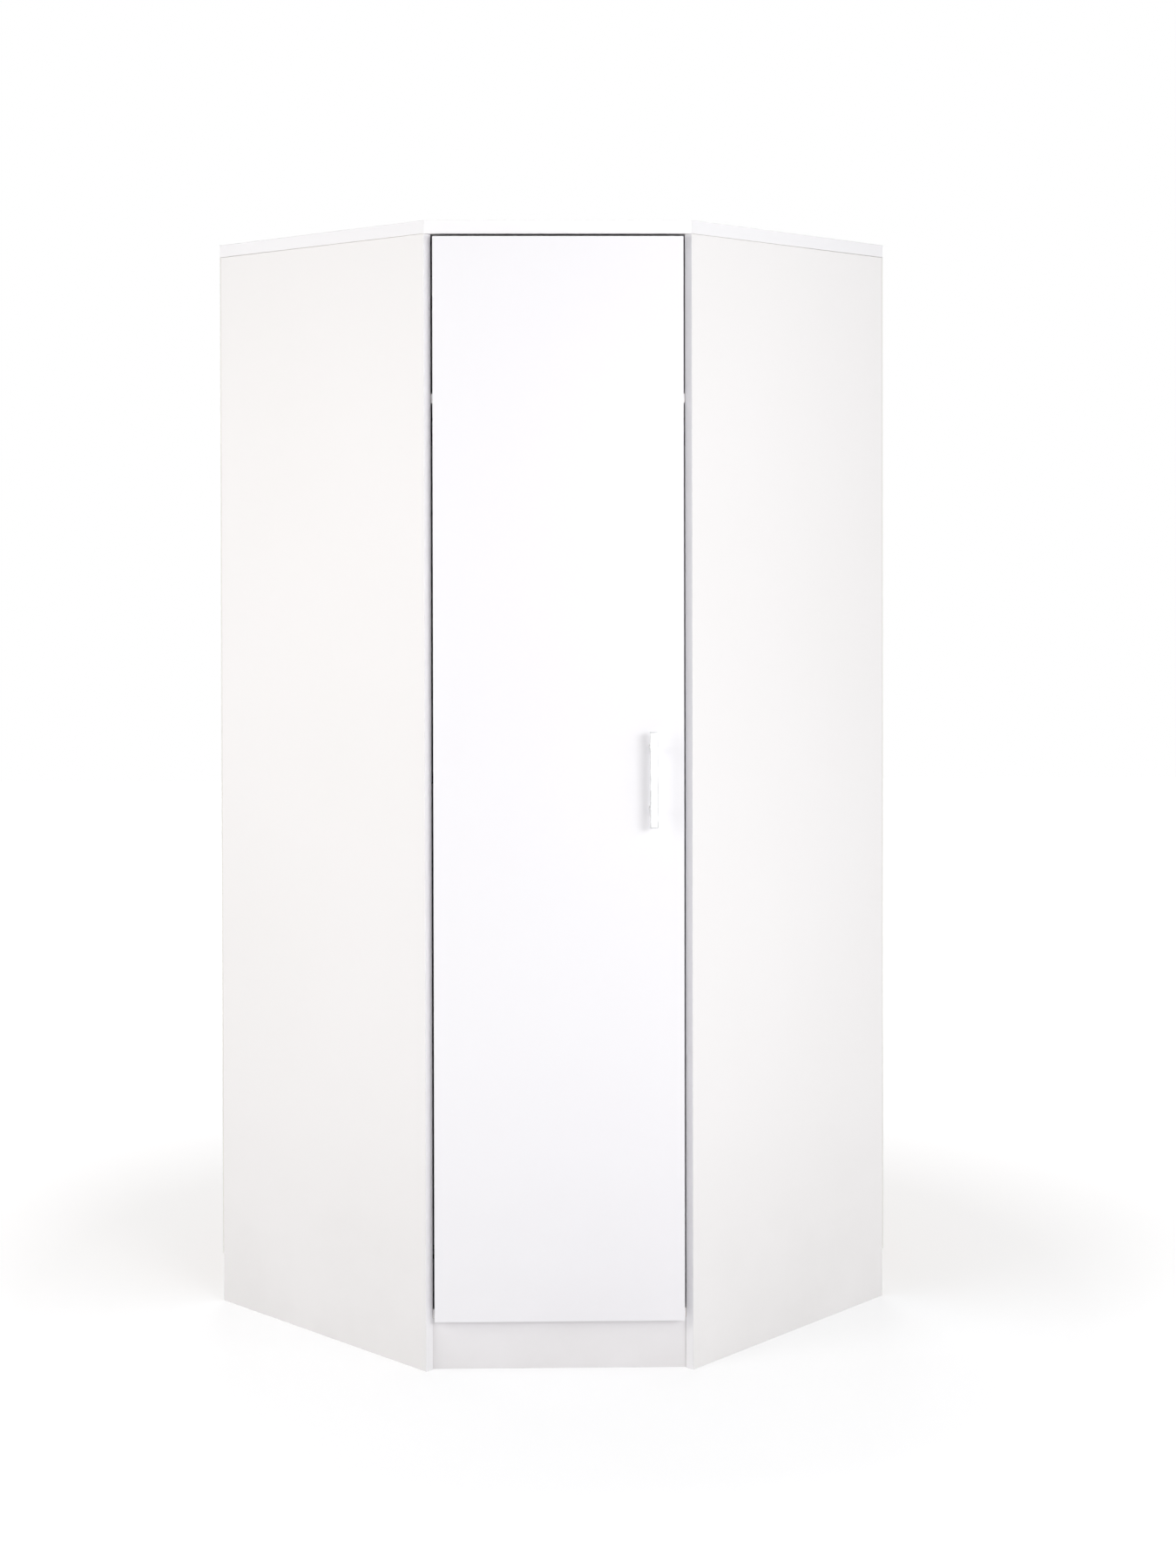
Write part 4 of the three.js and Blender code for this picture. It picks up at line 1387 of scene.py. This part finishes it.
class FastenerTree:
    """A geometry node tree that puts turned fasteners on points or along lines."""

    SEED = 7

    def __init__(self, name: str, sizes: Screw | Cap) -> None:
        """Starts the tree, with an input for each size.

        Args:
            name: The tree's name.
            sizes: The sizes that the inputs start with.
        """
        numbers = self._labelled(sizes)
        kinds = {label: "NodeSocketInt" if isinstance(v, int) else FLOAT for label, v in numbers.items()}
        sockets = {
            "Geometry": ("NodeSocketGeometry", None),
            "Finish": ("NodeSocketMaterial", None),
            **{label: (kinds[label], value) for label, value in numbers.items()},
        }
        self.wiring = Wiring.group(name, "GeometryNodeTree", sockets, {"Geometry": "NodeSocketGeometry"})

    @staticmethod
    def _labelled(sizes: Screw | Cap) -> dict[str, float]:
        """The sizes under the names of their sockets."""
        return {name.replace("_", " ").title(): value for name, value in vars(sizes).items()}

    def _height(self) -> NodeSocket:
        """The height of each point on the axis."""
        place = self.wiring.out("GeometryNodeInputPosition")
        return self.wiring.out("ShaderNodeSeparateXYZ", {0: place}, "Z")

    def _turned(self, low: NodeSocket, high: NodeSocket, radius: NodeSocket, steps: int) -> NodeSocket:
        """Sweeps a circle up the Z axis, with a radius that follows the height.

        Args:
            low: The lowest height.
            high: The highest height.
            radius: The radius as a field.
            steps: The number of points along the axis.

        Returns:
            The swept mesh.
        """
        w = self.wiring
        start, end = (w.out("ShaderNodeCombineXYZ", {"Z": z}) for z in (low, high))
        line = w.out("GeometryNodeCurvePrimitiveLine", {"Start": start, "End": end})
        line = w.out("GeometryNodeResampleCurve", {"Curve": line, "Count": steps})
        ring = w.out("GeometryNodeCurvePrimitiveCircle", {"Resolution": w.source["Sides"], "Radius": 1.0})
        feeds = {"Curve": line, "Profile Curve": ring, "Scale": radius, "Fill Caps": True}
        return w.out("GeometryNodeCurveToMesh", feeds)

    def _placed(self, points: NodeSocket, shape: NodeSocket) -> None:
        """Stands the shape on each point, turned at random about its aim.

        Args:
            points: The points.
            shape: The shape of one fastener.
        """
        w = self.wiring
        named = {"Name": AIM_LAYER}
        aim = w.out("GeometryNodeInputNamedAttribute", named, "Attribute", data_type="FLOAT_VECTOR")
        stand = w.out("FunctionNodeAlignRotationToVector", {"Vector": aim}, axis="Z")
        turn = w.out("FunctionNodeRandomValue", {3: math.tau, "Seed": self.SEED}, 1, data_type="FLOAT")
        spin = w.out("FunctionNodeAxisAngleToRotation", {"Axis": tuple(UP), "Angle": turn})
        feeds = {"Rotation": stand, "Rotate By": spin}
        stand = w.out("FunctionNodeRotateRotation", feeds, rotation_space="LOCAL")
        feeds = {"Points": points, "Instance": shape, "Rotation": stand}
        placed = w.out("GeometryNodeInstanceOnPoints", feeds)
        real = w.out("GeometryNodeRealizeInstances", {"Geometry": placed})
        feeds = {"Geometry": real, "Material": w.source["Finish"]}
        w.feed(w.sink["Geometry"], w.out("GeometryNodeSetMaterial", feeds))

    def run(
        self, name: str, seats: Seats, finish: Finish, body: Body, nodes: Iterable[str], sizes: Screw | Cap,
        links: Sequence[tuple[int, int]] = (),
    ) -> None:
        """Runs the tree on seats and makes the result a piece.

        Args:
            name: The piece's name.
            seats: Each fastener's place and the direction out of its head.
            finish: The fasteners' finish.
            body: The body that they ride on.
            nodes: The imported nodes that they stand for.
            sizes: Their sizes.
            links: Pairs of seats that a line joins.
        """
        mesh = bpy.data.meshes.new("seats")
        mesh.from_pydata([point for point, _ in seats], list(links), [])
        layer = mesh.attributes.new(AIM_LAYER, "FLOAT_VECTOR", "POINT")
        layer.data.foreach_set("vector", [part for _, aim in seats for part in aim])
        carrier = linked("seats", mesh)
        modifier = carrier.modifiers.new("fasteners", "NODES")
        modifier.node_group = self.wiring.tree
        values = {**self._labelled(sizes), "Finish": finish.material()}
        for item in self.wiring.tree.interface.items_tree:
            if item.name in values:
                modifier[item.identifier] = values[item.name]
        evaluated = carrier.evaluated_get(bpy.context.evaluated_depsgraph_get())
        made = bpy.data.meshes.new_from_object(evaluated)
        carrier.modifiers.remove(modifier)
        bpy.data.meshes.remove(mesh)
        made.set_sharp_from_angle(angle=SHARP_ANGLE)
        place_piece(name, made, [finish], body, nodes)


class ScrewTree(FastenerTree):
    """Cross-recessed screws on points."""

    STEPS = 44
    DOME_SHARE = 0.88
    TIP = 0.25 * MM

    def __init__(self, name: str, screw: Screw) -> None:
        """Builds the tree.

        Args:
            name: The tree's name.
            screw: One screw's sizes.
        """
        super().__init__(name, screw)
        w, size = self.wiring, self.wiring.source
        height, rise = self._height(), size["Head Height"]
        low = w.maths("MULTIPLY", size["Length"], -1.0)
        square = w.maths("POWER", w.maths("DIVIDE", height, rise), 2.0)
        dome = w.maths("SQRT", w.maths("MULTIPLY_ADD", square, -self.DOME_SHARE, 1.0))
        head = w.maths("MULTIPLY", size["Head Radius"], dome)
        above_tip = w.maths("ADD", w.maths("SUBTRACT", height, low), self.TIP)
        shank = w.maths("MINIMUM", size["Shank Radius"], above_tip)
        is_head = w.maths("GREATER_THAN", height, -JOINT_GAP)
        radius = w.out("ShaderNodeMix", {0: is_head, 2: shank, 3: head}, data_type="FLOAT")
        body = self._turned(low, rise, radius, self.STEPS)
        cut = w.add("GeometryNodeMeshBoolean", {"Mesh 1": body}, operation="DIFFERENCE", solver="EXACT")
        deep = w.maths("MULTIPLY", size["Recess Depth"], 2.0)
        top = w.out("ShaderNodeCombineXYZ", {"Z": rise})
        for across, along in ("XY", "YX"):
            feeds = {across: size["Recess Width"], along: size["Recess Reach"], "Z": deep}
            blade = w.out("GeometryNodeMeshCube", {"Size": w.out("ShaderNodeCombineXYZ", feeds)})
            feeds = {"Geometry": blade, "Translation": top}
            w.feed(cut.inputs["Mesh 2"], w.out("GeometryNodeTransform", feeds))
        self._placed(size["Geometry"], cut.outputs[0])


class CapTree(FastenerTree):
    """Low domed caps on points, or along lines at a spacing."""

    STEPS = 8
    SQUARENESS = 4.0

    def __init__(self, name: str, cap: Cap, along_lines: bool) -> None:
        """Builds the tree.

        Args:
            name: The tree's name.
            cap: One cap's sizes.
            along_lines: True for a cap at every step of a line, False for one on each point.
        """
        super().__init__(name, cap)
        w, size = self.wiring, self.wiring.source
        height = w.maths("MAXIMUM", self._height(), 0.0)
        rise = w.maths("POWER", w.maths("DIVIDE", height, size["Cap Height"]), self.SQUARENESS)
        shrink = w.maths("SQRT", w.maths("SUBTRACT", 1.0, w.maths("MULTIPLY", rise, size["Dome Share"])))
        radius = w.maths("MULTIPLY", size["Cap Radius"], shrink)
        low = w.maths("MULTIPLY", size["Sunk"], -1.0)
        body = self._turned(low, size["Cap Height"], radius, self.STEPS)
        points = size["Geometry"]
        if along_lines:
            feeds = {"Curve": w.out("GeometryNodeMeshToCurve", {"Mesh": points}), "Length": size["Spacing"]}
            points = w.out("GeometryNodeResampleCurve", feeds, mode="LENGTH")
        self._placed(points, body)


@dataclass
class Fastenings:
    """The screws, the cam caps and the panel pins, one piece for each kind and body."""

    plan: Plan
    wood_screw: Screw = Screw(3.6 * MM, 2.2 * MM, 1.9 * MM, 13 * MM)
    arm_screw: Screw = Screw(4 * MM, 2 * MM, 2 * MM, 9 * MM)
    handle_bolt: Screw = Screw(4 * MM, 2.4 * MM, 2 * MM, 27 * MM)
    cap: Cap = Cap(8.5 * MM, 0.8 * MM)
    cap_back: Sequence[float] = (60 * MM, 440 * MM)
    cap_drop: float = 34 * MM
    cap_inset: float = 24 * MM
    pin: Cap = Cap(1.5 * MM, 0.25 * MM, spacing=125 * MM, sides=12)
    pin_inset: float = 9 * MM

    def build(self) -> None:
        """Builds every group of fasteners."""
        self._screws()
        self._caps()
        self._pins()

    def _screws(self) -> None:
        """Builds the screws of both bodies."""
        tree = ScrewTree("cross_screws", self.wood_screw)
        inward = self.plan.heading(Side.LEFT, 1, 0)
        sides, hinges, pair = [side.word for side in Side], Hinges.NAMES, (1, 2)
        wood = {f"{side}_rail_screw_{i}": DOWN for side in sides for i in pair}
        wood |= {f"{side}_wall_bracket_screw": DOWN for side in sides}
        wood |= {f"{hinge}_plate_screw_{i}": inward for hinge in hinges for i in pair}
        cup = {f"{hinge}_cup_screw_{i}": BACK for hinge in hinges for i in pair}
        arm = {f"{hinge}_arm_screw": inward for hinge in hinges}
        handle = {f"handle_screw_{i}": BACK for i in pair}
        for name, aims, body, screw in (
            ("carcass_wood_screws", wood, Body.CARCASS, self.wood_screw),
            ("cup_wood_screws", cup, Body.DOOR, self.wood_screw),
            ("arm_machine_screws", arm, Body.CARCASS, self.arm_screw),
            ("handle_bolts", handle, Body.DOOR, self.handle_bolt),
        ):
            seats = [screw.seat(node, aim) for node, aim in aims.items()]
            tree.run(name, seats, ZINC, body, aims, screw)

    def _caps(self) -> None:
        """Builds the white caps over the cam fittings, at the boards' ends."""
        top, shelf, bottom = (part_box(node) for node in ("top_panel", "hat_shelf", "bottom_panel"))
        face = bottom[1].z - bottom[0].z
        inset, under_top = face + self.cap_inset, top[0].z - self.cap_drop
        seats = []
        for side in Side:
            inward = self.plan.heading(side, 1, 0)
            for back in self.cap_back:
                seats.append((self.plan.point(side, face, back, under_top), inward))
                seats.append((self.plan.point(side, inset, back, shelf[0].z), DOWN))
                seats.append((self.plan.point(side, inset, back, bottom[1].z), UP))
        tree = CapTree("cam_caps", self.cap, along_lines=False)
        tree.run("cam_fitting_caps", seats, CAP_PLASTIC, Body.CARCASS, [], self.cap)

    def _pins(self) -> None:
        """Builds the panel pins along the edges of the back sheets."""
        seats = []
        links = []
        low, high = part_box("left_back_panel")
        near, far = self.pin_inset, self.plan.wall_length - self.pin_inset * 2
        foot, head = low.z + self.pin_inset, high.z - self.pin_inset
        loop = [(near, foot), (near, head), (far, head), (far, foot)]
        for side in Side:
            aim, start = self.plan.heading(side, 0, 1), len(seats)
            seats += [(self.plan.point(side, inward, self.plan.side_depth, z), aim) for inward, z in loop]
            links += [(start + i, start + (i + 1) % len(loop)) for i in range(len(loop))]
        tree = CapTree("panel_pins", self.pin, along_lines=True)
        tree.run("back_panel_pins", seats, ZINC, Body.CARCASS, [], self.pin, links)


@dataclass(frozen=True)
class SoftBox:
    """A large soft lamp that looks at a point."""

    name: str
    place: Triple
    size: tuple[float, float]
    power: float
    target: Triple = (0, 0, 1.15)
    spread: float = math.pi
    colour: Triple = (1.0, 1.0, 1.0)

    def build(self) -> None:
        """Puts the lamp into the scene."""
        lamp = bpy.data.lights.new(self.name, "AREA")
        lamp.shape, lamp.spread, lamp.energy, lamp.color = "RECTANGLE", self.spread, self.power, self.colour
        lamp.size, lamp.size_y = self.size
        made = linked(self.name, lamp)
        made.location = self.place
        made.rotation_euler = (Vector(self.target) - made.location).to_track_quat("-Z", "Y").to_euler()


@dataclass
class Studio:
    """The white room: floor, sky, lamps and the camera at the photograph's viewpoint."""

    floor_size: float = 16.0
    floor_glow: float = 0.5
    floor_bounce: float = 0.44
    floor_fade: tuple[float, float] = (0.9, 2.6)
    floor_colour: int = 0xC9C9CA
    floor_roughness: float = 0.9
    sky_light: float = 0.15
    camera_place: Triple = (-0.10537, -4.22544, 1.34121)
    yaw: float = 0.959
    pitch: float = -0.488
    roll: float = -0.114
    lens: float = 55.66
    shift: tuple[float, float] = (0.0361, -0.1588)
    sensor: float = 36.0
    lamps: Sequence[SoftBox] = (
        SoftBox("key_softbox", (2.0, -4.15, 1.95), (2.1, 1.3), 60),
        SoftBox("fill_softbox", (-2.0, -1.6, 1.5), (1.2, 1.2), 24, colour=(1.0, 0.985, 0.965)),
        SoftBox("side_softbox", (2.0, -1.6, 1.5), (1.2, 1.2), 8),
        SoftBox(
            "strip_softbox", (0.83, -1.71, 1.3), (0.7, 1.9), 0.54, (0.22, -0.45, 1.15), math.radians(50)
        ),
        SoftBox("back_softbox", (0, 4.2, 3.2), (2.6, 2.6), 60),
        SoftBox("top_softbox", (0, 0.1, 4.6), (2.6, 2.6), 75),
    )

    def build(self) -> None:
        """Builds the room, the lamps and the camera."""
        self._camera()
        self._sky()
        self._floor()
        for lamp in self.lamps:
            lamp.build()

    def _camera(self) -> None:
        """Makes the camera and the view settings."""
        data = bpy.data.cameras.new("photograph_view")
        data.sensor_width, data.sensor_fit, data.lens = self.sensor, "AUTO", self.lens
        data.shift_x, data.shift_y = self.shift
        made = linked("photograph_view", data)
        yaw, pitch, roll = (math.radians(a) for a in (self.yaw, self.pitch, self.roll))
        tilt = Matrix.Rotation(QUARTER + pitch, 4, "X") @ Matrix.Rotation(roll, 4, "Z")
        made.matrix_world = spot(self.camera_place, -yaw) @ tilt
        bpy.context.scene.camera = made
        bpy.context.scene.view_settings.view_transform = "Standard"

    def _seen(self, w: Wiring) -> NodeSocket:
        """Masks the rays that show the background: camera, gloss and glass.

        Args:
            w: The tree's wiring.

        Returns:
            The mask.
        """
        path = w.add("ShaderNodeLightPath").outputs
        gloss = w.maths("MAXIMUM", path["Is Camera Ray"], path["Is Glossy Ray"])
        return w.maths("MAXIMUM", gloss, path["Is Transmission Ray"])

    def _sky(self) -> None:
        """Makes a sky that looks white and lights softly."""
        world = bpy.data.worlds.new("white_room")
        bpy.context.scene.world = world
        w = Wiring.of_surface(world)
        strength = w.ranged(self._seen(w), 0.0, 1.0, self.sky_light, 1.0)
        glow = w.out("ShaderNodeBackground", {"Color": WHITE, "Strength": strength})
        w.add("ShaderNodeOutputWorld", {"Surface": glow})

    def _floor(self) -> None:
        """Makes the pale floor, which keeps a soft shadow and fades to plain white farther off."""
        half = self.floor_size / 2
        mesh = bpy.data.meshes.new("studio_floor")
        corners = [(-half, -half, 0), (half, -half, 0), (half, half, 0), (-half, half, 0)]
        mesh.from_pydata(corners, [], [(0, 1, 2, 3)])
        material = bpy.data.materials.new("pale_studio_floor")
        w = Wiring.of_surface(material)
        away = w.out("ShaderNodeVectorMath", {0: w.place()}, "Value", operation="LENGTH")
        shown = w.ranged(away, *self.floor_fade, self.floor_glow, 1.0)
        shader = w.out("ShaderNodeBsdfPrincipled", {
            "Base Color": linear(self.floor_colour),
            "Roughness": self.floor_roughness,
            "Specular IOR Level": 0.0,
            "Emission Color": WHITE,
            "Emission Strength": w.ranged(self._seen(w), 0.0, 1.0, self.floor_bounce, shown),
        })
        w.add("ShaderNodeOutputMaterial", {"Surface": shader})
        mesh.materials.append(material)
        linked("studio_floor", mesh)


def main() -> None:
    """Loads the frame, and builds the wardrobe and the studio."""
    logging.basicConfig(level=logging.INFO, format="%(name)s: %(message)s")
    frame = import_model()
    plan = Plan.from_frame()
    fixed = (Studio(), Carcass(plan), HangingRail(), WallBrackets())
    for part in (*fixed, Hinges(plan), DoorLeaf(), Fastenings(plan)):
        part.build()


if __name__ == "__main__":
    main()
